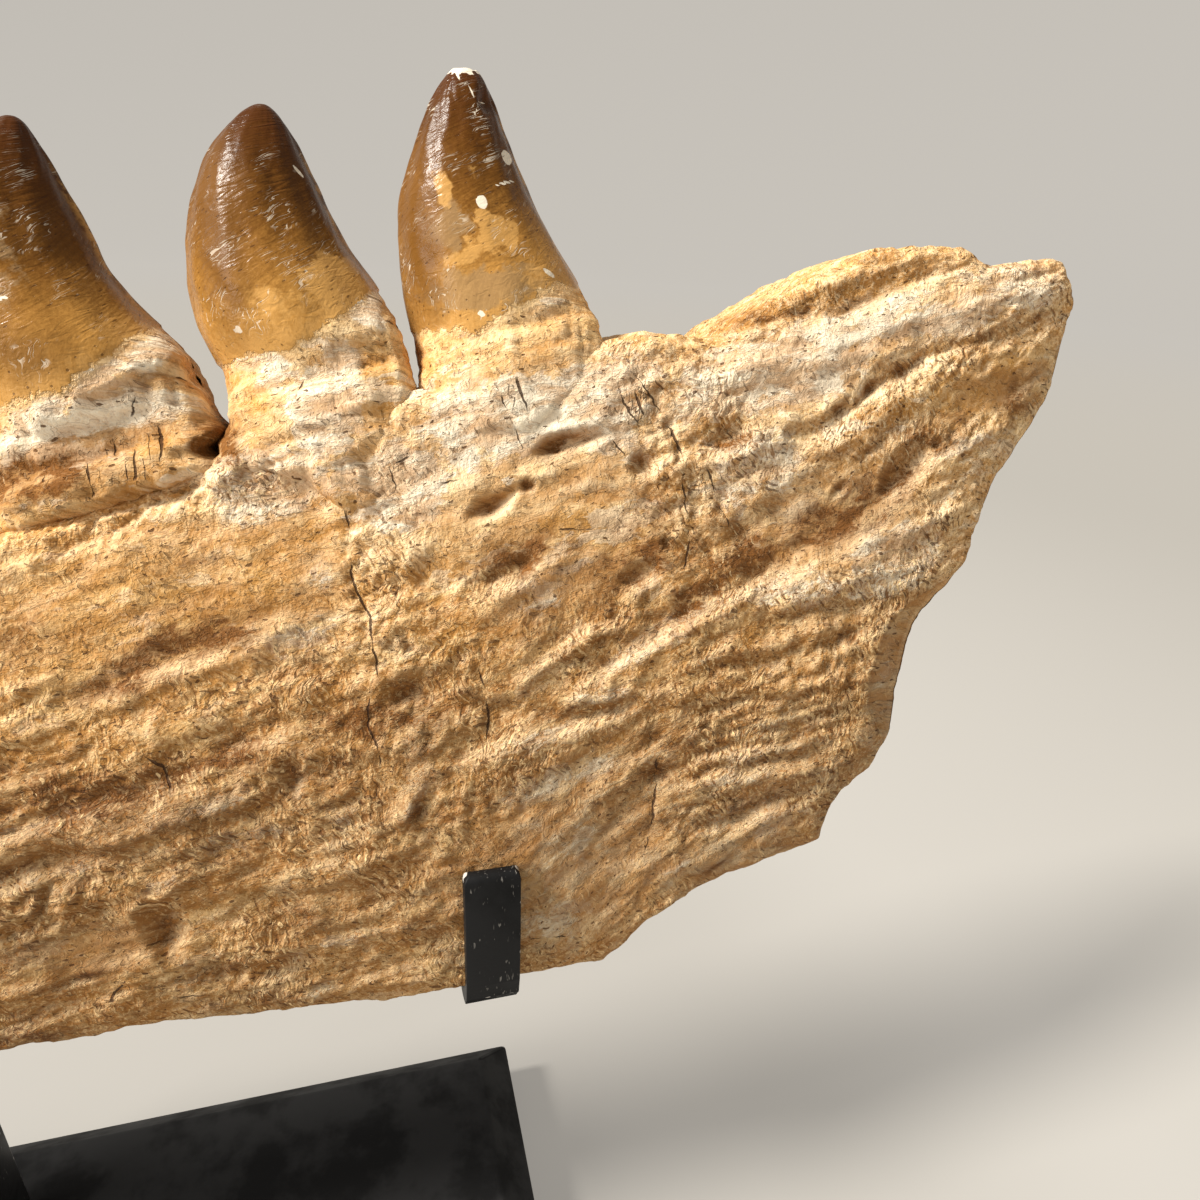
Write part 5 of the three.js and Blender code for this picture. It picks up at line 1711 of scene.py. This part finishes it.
@dataclass
class Tooth:
    """One tooth: its crown and, below the enamel's edge, its root.

    enamel_edge is (x from the tip, drop), reach is (x from the tip, how far below the bone's rim the root
    still lies over the bone), and bulge is (x from the tip, how far it stands out over the bone). shoulder is
    how far above the rim the root is already as thick as the bone.
    """

    node: str
    tip: tuple[float, float]
    profile: Profile
    enamel_edge: Path
    reach: Path = ((-12, 2), (24, 2))
    size: float = 1.0
    sides: int = 112
    rings: int = 170
    chipped: bool = False
    marks: tuple[Stain, ...] = ()
    depth_ratio: float = 0.8
    depth_limit: float = 12.6
    bulge: Path = ((-12, 1.1), (24, 1.1))
    shoulder: float = 0.0
    slant: float = 0.0  # how much farther up the crown the colour is, for each mm to the rear
    last_drop: float = 64.0
    flutes: int = 12  # round the crown
    seed: int = 7

    def outline(self, drop: Grid) -> tuple[Grid, Grid]:
        """How far a full-size tooth reaches to its front and its rear, at drops below its tip."""
        rows = ((0.0, 0.0, 0.0), *self.profile.value)
        roots = np.sqrt([row[0] for row in rows])
        wanted = np.sqrt(drop)
        reaches = []
        for column in (1, 2):
            pairs = tuple(zip(roots, [row[column] for row in rows]))
            smooth = rounded(pairs, wanted, 0.28)
            sharp = between(pairs, wanted)
            share = ease(wanted, 0.5, 1.1)
            reaches.append(sharp * (1 - share) + smooth * share)
        return reaches[0], reaches[1]

    def root_depth(self, x: Grid, v: Grid, x_off: Grid) -> Grid:
        """How far the root stands out from the jaw's middle plane.

        Args:
            x, v: the places, in mm.
            x_off: distance from the tip along the jaw, for a full-size tooth.

        Returns:
            The depth in mm, which falls below the bone's own where the root has gone into it.
        """
        into = between(JawBone.top_edge, x) - v
        under = np.maximum(into + self.shoulder, 0.0)
        bone = rounded(JawBone.half_thickness, x, 8.0) * rounded(JawBone.upper_fullness, under, 0.8)
        bone = bone * lean_back(v)
        past = into - between(self.reach, x_off)
        past = past + Noise(self.seed + 5).layered(x / 3.0, v / 5.0, 3) * 0.8
        bulge = between(self.bulge, x_off) * ease(past, 1.2, -1.5)
        return bone + bulge - 5.0 * ease(into, -1.0, 3.5) * ease(past, -0.4, 3.0)

    def build(self, fibres: FibreField, jaw: JawBone) -> Piece:
        """The tooth as one closed mesh, with what its finish needs.

        Args:
            fibres: which way the bone's fibres run.
            jaw: the bone, whose relief the root carries on.

        Returns:
            The piece.
        """
        share = np.linspace(0.0, 1.0, self.rings)
        drop = ((0.35 * share + 0.65 * share**1.6) * self.last_drop)[:, None]
        front, rear = self.outline(drop)
        turn = np.linspace(0.0, 2.0 * math.pi, self.sides + 1)[None, :]
        half_width, middle = (front + rear) / 2, (rear - front) / 2
        cos, sin = np.cos(turn), np.sin(turn)
        x_off = middle + half_width * cos
        edge_drop = between(self.enamel_edge, x_off)
        noise = Noise(self.seed)
        below = drop - edge_drop + noise.layered(x_off / 4.5 + 5.0, sin * 3.0 + 0.0 * drop, 2) * 0.9
        enamel = ease(below, 0.5, -0.5)

        x_near, v_near = x_off * self.size + self.tip[0], self.tip[1] - (drop + 0.0 * cos) * self.size
        crown_depth = np.minimum(half_width * self.depth_ratio, self.depth_limit)
        flare = ease(drop - edge_drop, -1.0, 7.0)
        root_depth = self.root_depth(x_near, v_near, x_off) / self.size
        depth = crown_depth + (root_depth - crown_depth) * flare
        w = depth * np.sign(sin) * np.abs(sin) ** (1.0 - 0.72 * flare)

        keel = 0.45 * np.exp(-((np.abs(sin) / 0.10) ** 2)) * ease(drop, 1.0, 6.0) * enamel
        flute = 0.07 * np.cos(self.flutes * turn) * ease(drop, 4.0, 12.0) * enamel
        lump = noise.layered(cos * 1.7 + 3.0 + 0.0 * drop, drop / 9.0 + sin * 1.7, 3) * 0.2
        relief, (beside, signed), calm = jaw.face_relief(x_near, v_near, np.full(x_near.shape, 90.0), fibres)
        relief = relief + mark_all(ROOT_MARKS, x_near, v_near)
        relief = np.where(sin < 0, relief, noise.layered(x_near / 5.0, v_near / 5.0, 4) * 0.7)
        swell = relief * ease(below, -0.2, 4.5) + lump * enamel + keel + flute
        swell = swell * ease(drop, 0.0, 3.0)
        x = middle + (half_width + swell) * cos
        w = w + swell * sin
        down = drop + 0.0 * x
        if self.chipped:
            x, w, down = self.chip(x, w, down, noise)
        for end in (0, -1):
            x[end], down[end], w[end] = x[end, :-1].mean(), down[end, :-1].mean(), 0.0
        x, w, down = x * self.size + self.tip[0], w * self.size, self.tip[1] - down * self.size
        values = self.dress(x, down, w, enamel)
        values["margin"] = np.clip(below * self.size, -6.0, 6.0)
        level = 1.0 - drop / np.maximum(edge_drop, 1.0)
        level = level + self.slant * x_off * ease(level, 0.22, 0.5) * ease(level, 1.0, 0.7)
        values["level"] = np.clip(level, 0.0, 1.0)
        # Where the finish paints a warm line of light along the crown's rear edge.
        values["keel"] = np.exp(-((sin / 0.16) ** 2)) * (cos > 0) * ease(drop, 4.0, 10.0) * enamel
        # The root's crests paler and its hollows darker: partly the bone's own tone, partly painted light and
        # shade.
        near = soften(relief, 8)
        values["crest"] = np.clip((relief - near) * 1.4, 0.0, 0.5) * (1.0 - enamel)
        values["hollow"] = np.clip((near - relief) * 0.8, 0.0, 0.3) * (1.0 - enamel)
        own_beside, own_signed = crack_lines(ROOT_CRACKS, x, down)
        values["crack"] = np.maximum(beside, own_beside * 0.7) * (1.0 - enamel) * (sin < 0)
        values["fissure"] = np.where(np.abs(signed) < np.abs(own_signed), signed, own_signed)
        values["calm"] = np.maximum(calm, 0.75 * (1.0 - enamel))
        values["sweep"] = np.stack([turn * half_width, drop + 0.0 * x, 0.0 * x], axis=-1) * MM
        values["grain"] = fibres.grain(x, down, w)
        placed = AXES.place(x, down, w)
        return wrapped_sheet(self.node.replace("tooth", "fossil_tooth"), placed, values)

    def chip(self, x: Grid, w: Grid, down: Grid, noise: Noise) -> tuple[Grid, Grid, Grid]:
        """Blunts the tip and breaks flakes from it.

        Args:
            x: distance from the tip along the jaw.
            w: distance from the tooth's middle plane.
            down: drop below the tip.
            noise: what makes the break rough.

        Returns:
            The three, changed.
        """
        floor = 0.7 + 0.35 * noise.layered(x / 1.6, w / 1.6, 2) + 0.10 * x
        down = np.where(down < 8.0, np.maximum(down, np.maximum(floor, 0.0)), down)
        flake = np.exp(-(((x - 3.4) / 1.2) ** 2) - (((down - 5.6) / 1.6) ** 2)) * (w < 1)
        return x - 0.7 * flake, w + 0.9 * flake, down

    def dress(self, x: Grid, v: Grid, w: Grid, enamel: Grid) -> dict[str, Grid]:
        """How strongly each tint marks each place of the tooth.

        Args:
            x, v, w: the places, in mm.
            enamel: 1 on the crown and 0 on the root.

        Returns:
            A grid for each name that the finish reads.
        """
        crown = stain_all(self.marks, x, v, enamel * (w < 2.0))
        root = stain_all(STAINS + ROOT_STAINS, x, v, (1.0 - enamel) * (w < 0.0))
        result = {name: crown[name] + root[name] for name in crown}
        result["lower_tone"] = np.zeros(x.shape)
        result["bleached"] = np.full(x.shape, 0.5)
        if self.chipped:
            noise = Noise(self.seed + 3)
            broken = ease(self.tip[1] - v + noise.layered(x / 1.1, v / 1.1, 2) * 0.8, 1.9, 1.2)
            result["pale"] = np.maximum(result["pale"], broken * 0.85)
        return result


# ---- The stand ----
@dataclass
class StandPiece:
    """A piece of the stand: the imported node's own shape with its edges rounded."""

    node: str
    name: str
    slot: str
    rounding: float
    corner: float = 0.0  # the rounding of its ends' corners
    segments: int = 3
    corner_segments: int = 4

    def build(self) -> Piece:
        """Copies the node, merges its faces and rounds its edges.

        Returns:
            The piece.
        """
        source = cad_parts[self.node]
        piece = bpy.data.objects.new(self.name, source.data.copy())
        bpy.context.scene.collection.objects.link(piece)
        piece.data.materials.clear()
        select_only(piece)
        bpy.ops.object.mode_set(mode="EDIT")
        bpy.ops.mesh.select_all(action="SELECT")
        bpy.ops.mesh.remove_doubles(threshold=1e-6)
        bpy.ops.mesh.dissolve_limited(angle_limit=math.radians(1.5))
        bpy.ops.mesh.select_all(action="DESELECT")
        if self.corner:
            self.round_ends(piece)
        bpy.ops.mesh.edges_select_sharp(sharpness=math.radians(32.0))
        self.bevel(self.rounding, self.segments)
        bpy.ops.mesh.select_all(action="SELECT")
        bpy.ops.mesh.normals_make_consistent(inside=False)
        bpy.ops.object.mode_set(mode="OBJECT")
        bpy.ops.object.shade_smooth_by_angle(angle=math.radians(40.0))
        self.mark_edges(piece)
        return piece

    def round_ends(self, piece: Piece) -> None:
        """Rounds the corners at the two ends of a bent flat bar, at the edges as long as the bar is thick."""
        bpy.ops.object.mode_set(mode="OBJECT")
        mesh = piece.data
        for edge in mesh.edges:
            start, end = (mesh.vertices[index].co for index in edge.vertices)
            edge.select = abs((end - start).length - FLAT_BAR * MM) < 0.01 * MM
        bpy.ops.object.mode_set(mode="EDIT")
        self.bevel(self.corner, self.corner_segments)
        bpy.ops.mesh.select_all(action="DESELECT")

    def bevel(self, width: float, segments: int) -> None:
        """Rounds the selected edges."""
        bpy.ops.mesh.bevel(offset=width * MM, segments=segments, affect="EDGES", clamp_overlap=True)

    def mark_edges(self, piece: Piece) -> None:
        """Keeps on the mesh which faces belong to a rounded edge, for the paint's wear and its painted shade.
        """
        mesh = piece.data
        layer = mesh.attributes.new("edge", "FLOAT", "FACE")
        places = [vertex.co for vertex in mesh.vertices]
        for polygon in mesh.polygons:
            shortest = min((places[start] - places[end]).length for start, end in polygon.edge_keys)
            layer.data[polygon.index].value = float(shortest < self.rounding * MM * 0.6)


# ---- The studio ----
@dataclass(frozen=True)
class Studio:
    """A pale round cove, soft lamps and the camera."""

    floor_radius: float = 2.4
    cove_radius: float = 0.9
    cove_steps: int = 14
    wall_height: float = 1.6
    floor_colour: Colour = (0.225, 0.216, 0.20)
    glow_colour: Colour = (1.0, 0.945, 0.86)
    wall_colour: Colour = (0.02, 0.019, 0.018)
    near_glow: float = 0.36
    middle_glow: float = 0.16
    far_glow: float = 0.36
    close_shade: float = 0.11  # less glow close to the stand
    middle: Triple = (0.05, 0.0, 0.16)  # what the lamps shine at
    key_offset: Triple = (-0.69, -0.07, 0.72)  # from there
    key_colour: Colour = (1.0, 0.955, 0.88)
    key_power: float = 6.4
    side_place: Triple = (-0.95, -0.42, 0.62)
    side_colour: Colour = (1.0, 0.97, 0.93)
    side_power: float = 5.5
    surround_colour: Colour = (1.0, 0.955, 0.89)
    surround_strength: float = 0.30
    camera_place: Triple = (0.0923, -0.1312, 0.2490)
    camera_right: Triple = (0.96307, -0.26349, 0.05533)
    camera_forward: Triple = (0.26044, 0.85963, -0.43955)
    lens: float = 25.74  # in mm

    def build_cove(self) -> None:
        """A floor that curves up into a wall all round."""
        bpy.ops.object.select_all(action="DESELECT")
        bpy.ops.mesh.primitive_circle_add(vertices=128, radius=self.floor_radius, fill_type="NGON")
        floor = bpy.context.active_object
        floor.name = "studio_floor"
        bpy.ops.object.mode_set(mode="EDIT")
        bpy.ops.mesh.select_mode(type="EDGE")
        bpy.ops.mesh.select_all(action="SELECT")
        bpy.ops.mesh.region_to_loop()
        radius, height = self.floor_radius, 0.0
        for step in range(1, self.cove_steps + 1):
            turn = step / self.cove_steps * math.pi / 2
            next_radius = self.floor_radius + self.cove_radius * math.sin(turn)
            next_height = self.cove_radius * (1.0 - math.cos(turn))
            bpy.ops.mesh.extrude_edges_move(TRANSFORM_OT_translate={"value": (0, 0, next_height - height)})
            factor = next_radius / radius
            bpy.ops.transform.resize(value=(factor, factor, 1.0))
            radius, height = next_radius, next_height
        bpy.ops.mesh.extrude_edges_move(TRANSFORM_OT_translate={"value": (0, 0, self.wall_height)})
        bpy.ops.object.mode_set(mode="OBJECT")
        bpy.ops.object.shade_smooth()
        floor.data.materials.append(self.paper())
        floor.visible_shadow = False

    def paper(self) -> bpy.types.Material:
        """The floor's finish, which glows a little near the stand and again far from it."""
        nodes = Nodes("studio_paper")
        distance = nodes.node("VectorMath", {0: nodes.object_place()}, operation="LENGTH").outputs["Value"]
        far = nodes.ramp(distance, 1.0, 2.4)
        glow = nodes.ramp(distance, 0.12, 0.95, self.near_glow, self.middle_glow)
        glow = nodes.scaled(far, self.far_glow, glow)
        close = nodes.ramp(distance, 0.31, 0.19, 0.0, self.close_shade)
        inputs = nodes.shader.inputs
        nodes.feed(inputs["Base Color"], nodes.mix(far, self.floor_colour, self.wall_colour))
        nodes.feed(inputs["Emission Strength"], nodes.maths("SUBTRACT", glow, close))
        inputs["Emission Color"].default_value = (*self.glow_colour, 1.0)
        inputs["Roughness"].default_value = 0.9
        inputs["Specular IOR Level"].default_value = 0.1
        return nodes.material

    def lamp(
        self, name: str, kind: str, place: Vector, target: Vector, power: float, size: float, colour: Colour
    ) -> None:
        """Adds one lamp.

        Args:
            name: its name.
            kind: SUN or AREA.
            place: where it is.
            target: what it shines at.
            power: its strength.
            size: its angle for a sun, its side for an area lamp.
            colour: its colour.
        """
        data = bpy.data.lights.new(name, kind)
        data.energy = power
        data.color = colour
        if kind == "SUN":
            data.angle = size
        else:
            data.size = size
        lamp = bpy.data.objects.new(name, data)
        bpy.context.scene.collection.objects.link(lamp)
        lamp.location = place
        lamp.rotation_euler = (target - place).to_track_quat("-Z", "Y").to_euler()

    def build_lamps(self) -> None:
        """A high warm key, a square soft lamp at the left and a pale surround."""
        middle = Vector(self.middle)
        key_place = middle + Vector(self.key_offset)
        self.lamp("key", "SUN", key_place, middle, self.key_power, math.radians(12.0), self.key_colour)
        self.lamp("side", "AREA", Vector(self.side_place), middle, self.side_power, 0.45, self.side_colour)
        world = bpy.data.worlds.new("surround")
        world.use_nodes = True
        background = world.node_tree.nodes["Background"]
        background.inputs["Color"].default_value = (*self.surround_colour, 1.0)
        background.inputs["Strength"].default_value = self.surround_strength
        bpy.context.scene.world = world
        bpy.context.scene.view_settings.view_transform = "Standard"

    def build_camera(self) -> None:
        """The camera close to the rear half of the jaw, looking down on its outer face."""
        data = bpy.data.cameras.new("camera")
        data.lens = self.lens
        data.sensor_width = 36.0
        data.clip_start = 0.01
        camera = bpy.data.objects.new("camera", data)
        bpy.context.scene.collection.objects.link(camera)
        right, forward = Vector(self.camera_right), Vector(self.camera_forward)
        up = right.cross(forward).normalized()
        turned = Matrix((right, up, -forward)).transposed().to_4x4()
        camera.matrix_world = Matrix.Translation(self.camera_place) @ turned
        bpy.context.scene.camera = camera


# ---- The list of teeth ----
# The enamel's lower edge: (x from the tip, drop).
REAR_EDGE = (
    (-12, 41), (-10.2, 40.5), (-1.2, 39.7), (3.8, 37.5), (8.8, 34.9), (12.4, 32.8), (15, 32.7), (22, 32),
)
MIDDLE_EDGE = (
    (-12, 39), (-8.6, 37.7), (-3, 36.2), (1.5, 35.4), (4.7, 33.8), (10.3, 29.9), (13.9, 26.9), (20, 25.6),
)
THIRD_EDGE = ((-12, 40), (-3.5, 39.3), (4.5, 37.7), (7.5, 35.3), (12, 31.3), (16.9, 27.6), (22, 26))
# How far below the bone's rim each root still lies over the bone: (x from the tip, how far).
REAR_REACH = ((-12, 3), (-8, 6), (-2, 9), (8, 10), (15, 7), (21, 3))
MIDDLE_REACH = ((-9, 5.4), (-6, 4.8), (-2, 5.4), (2, 7.4), (6, 12), (8, 14), (12, 15), (15.5, 14), (19.5, 11))
THIRD_REACH = ((-9, -3.5), (-2, -3.5), (5, -1.5), (12, -0.5), (20.5, 0.5), (23, 4))
REAR_TOOTH_MARKS = (
    *stains(
        Tint.PALE,
        (113.6, 141.6, 1.9, 1.9, 0, 1.2), (118.4, 149.2, 1.5, 2.2, 20, 1.1),
        (117.5, 145, 4.5, 0.5, 20, 0.9), (112.9, 158.4, 0.45, 3.4, 20, 0.62),
        (113.5, 155.4, 0.4, 3.6, -24, 0.6), (111.2, 161, 0.5, 3, 10, 0.7),
        (114.8, 157.2, 2.6, 0.5, 16, 0.6), (112.4, 125.2, 1.6, 1.2, 10), (123.6, 131.6, 2.4, 1, -30, 0.9),
    ),
    # A long oval down the crown's left flank, which the finish darkens as painted shade.
    *stains(Tint.BROWN, (103.2, 137, 6, 30, 4, 1.2)),
    *stains(
        Tint.ORANGE,
        (107.6, 143.4, 4, 8, 10, 0.75), (114.4, 137.4, 6.5, 7.5, 0), (109.6, 133.6, 7, 3, 5, 0.8),
        (112.6, 146, 4, 5, 0, 0.4), (121.6, 130.3, 7, 6, -30, 0.5),
    ),
    *stains(
        Tint.GREY,
        (108, 138, 7, 10, 0, 0.9), (113, 129, 22, 7, 5, 0.9),
    ),
)
MIDDLE_TOOTH_MARKS = (
    *stains(
        Tint.PALE,
        (76.6, 122.4, 1.1, 1.1, 0, 1.1), (86.6, 145.4, 2.6, 0.5, -50, 0.7),
    ),
    # A long oval down the crown's left flank, which the finish darkens as painted shade.
    *stains(Tint.BROWN, (75, 136, 6, 30, 4, 1.3)),
    *stains(
        Tint.ORANGE,
        (91.5, 128.4, 9, 12, 20, 1.3), (81, 126, 22, 8, 5, 0.5),
    ),
)
THIRD_TOOTH_MARKS = (
    *stains(
        Tint.PALE,
        (59.4, 134, 3.2, 0.8, -50, 0.8), (47, 126, 2.6, 0.7, 20, 0.7), (45, 133, 0.6, 3.4, 10, 0.7),
    ),
    *stains(Tint.BROWN, (48.5, 118.4, 12, 8, 0, 0.9)),
    *stains(Tint.GREY, (46, 130, 12, 20, 0, 0.5)),
)

# The x and the height of each tip, and the size, of the teeth in front of those.
SMALLER_TEETH = (
    (21, 123, 0.86), (-8, 127.5, 0.88), (-36.5, 118.5, 0.83), (-63, 109.5, 0.77), (-87.5, 101, 0.71),
)


def make_teeth() -> list[Tooth]:
    """All the teeth, from the rear of the jaw to the front."""
    teeth = [
        Tooth(
            "tooth_1", (112.2, 162.8), Profile.REAR, REAR_EDGE, REAR_REACH, chipped=True, seed=11,
            marks=REAR_TOOTH_MARKS, bulge=((-12, 0.7), (21, 0.7)), shoulder=6.0, slant=0.006,
        ),
        Tooth(
            "tooth_2", (82.1, 155.2), Profile.MIDDLE, MIDDLE_EDGE, MIDDLE_REACH, seed=12,
            marks=MIDDLE_TOOTH_MARKS, bulge=((-9, 1.0), (4, 0.9), (9, 0.6)), shoulder=6.0, slant=0.009,
        ),
        Tooth(
            "tooth_3", (48.5, 151.3), Profile.THIRD, THIRD_EDGE, THIRD_REACH, seed=13,
            marks=THIRD_TOOTH_MARKS, shoulder=6.0, slant=0.007,
        ),
    ]
    for index, (*tip, size) in enumerate(SMALLER_TEETH, start=4):
        teeth.append(Tooth(
            f"tooth_{index}", tuple(tip), Profile.MIDDLE, MIDDLE_EDGE, size=size, seed=20 + index, sides=72,
            rings=100,
        ))
    return teeth


# ---- Everything together ----
def attach(piece: Piece, node: str, material: bpy.types.Material) -> None:
    """Gives a piece its finish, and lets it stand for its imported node."""
    piece.data.materials.clear()
    piece.data.materials.append(material)
    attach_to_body(piece, "root")
    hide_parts(node)
    log.info("%s: %d faces for %s", piece.name, len(piece.data.polygons), node)


def build_fossil() -> None:
    """Builds the bone and its teeth."""
    bone_finish = BoneFinish()
    fibres = FibreField(RIDGES + GROOVES)
    jaw = JawBone()
    attach(jaw.build(fibres), "jaw_bone", bone_finish.make())
    tooth_material = ToothFinish(bone_finish).make()
    for tooth in make_teeth():
        attach(tooth.build(fibres, jaw), tooth.node, tooth_material)


def build_stand() -> None:
    """Builds the stand's five pieces."""
    steel = PaintFinish(
        "black_steel", colour=(0.011, 0.011, 0.0115), worn=(0.55, 0.52, 0.47), roughness=0.5,
        scratch_share=0.30, chip_share=0.9, shine=0.12,
    )
    wood = PaintFinish(
        "black_base", colour=(0.024, 0.024, 0.0245), worn=(0.10, 0.10, 0.10), roughness=0.7,
        scratch_share=0.04, chip_share=0.0, shine=0.10, rim_shade=0.6,
    )
    materials = {finish.name: finish.make() for finish in (steel, wood)}
    pieces = (
        StandPiece("clip_rear", "bent_clip_rear", "black_steel", 0.6, 1.6),
        StandPiece("clip_front", "bent_clip_front", "black_steel", 0.6, 1.6),
        StandPiece("cross_bar", "square_cross_bar", "black_steel", 0.6),
        StandPiece("post", "square_post", "black_steel", 0.6),
        StandPiece("base", "bevelled_base", "black_base", 0.8),
    )
    for piece in pieces:
        attach(piece.build(), piece.node, materials[piece.slot])


def main() -> None:
    """Builds the fossil, its stand and the studio, in that order."""
    logging.basicConfig(level=logging.INFO, format="%(name)s: %(message)s")
    build_fossil()
    build_stand()
    studio = Studio()
    studio.build_cove()
    studio.build_lamps()
    studio.build_camera()


if __name__ == "__main__":
    main()
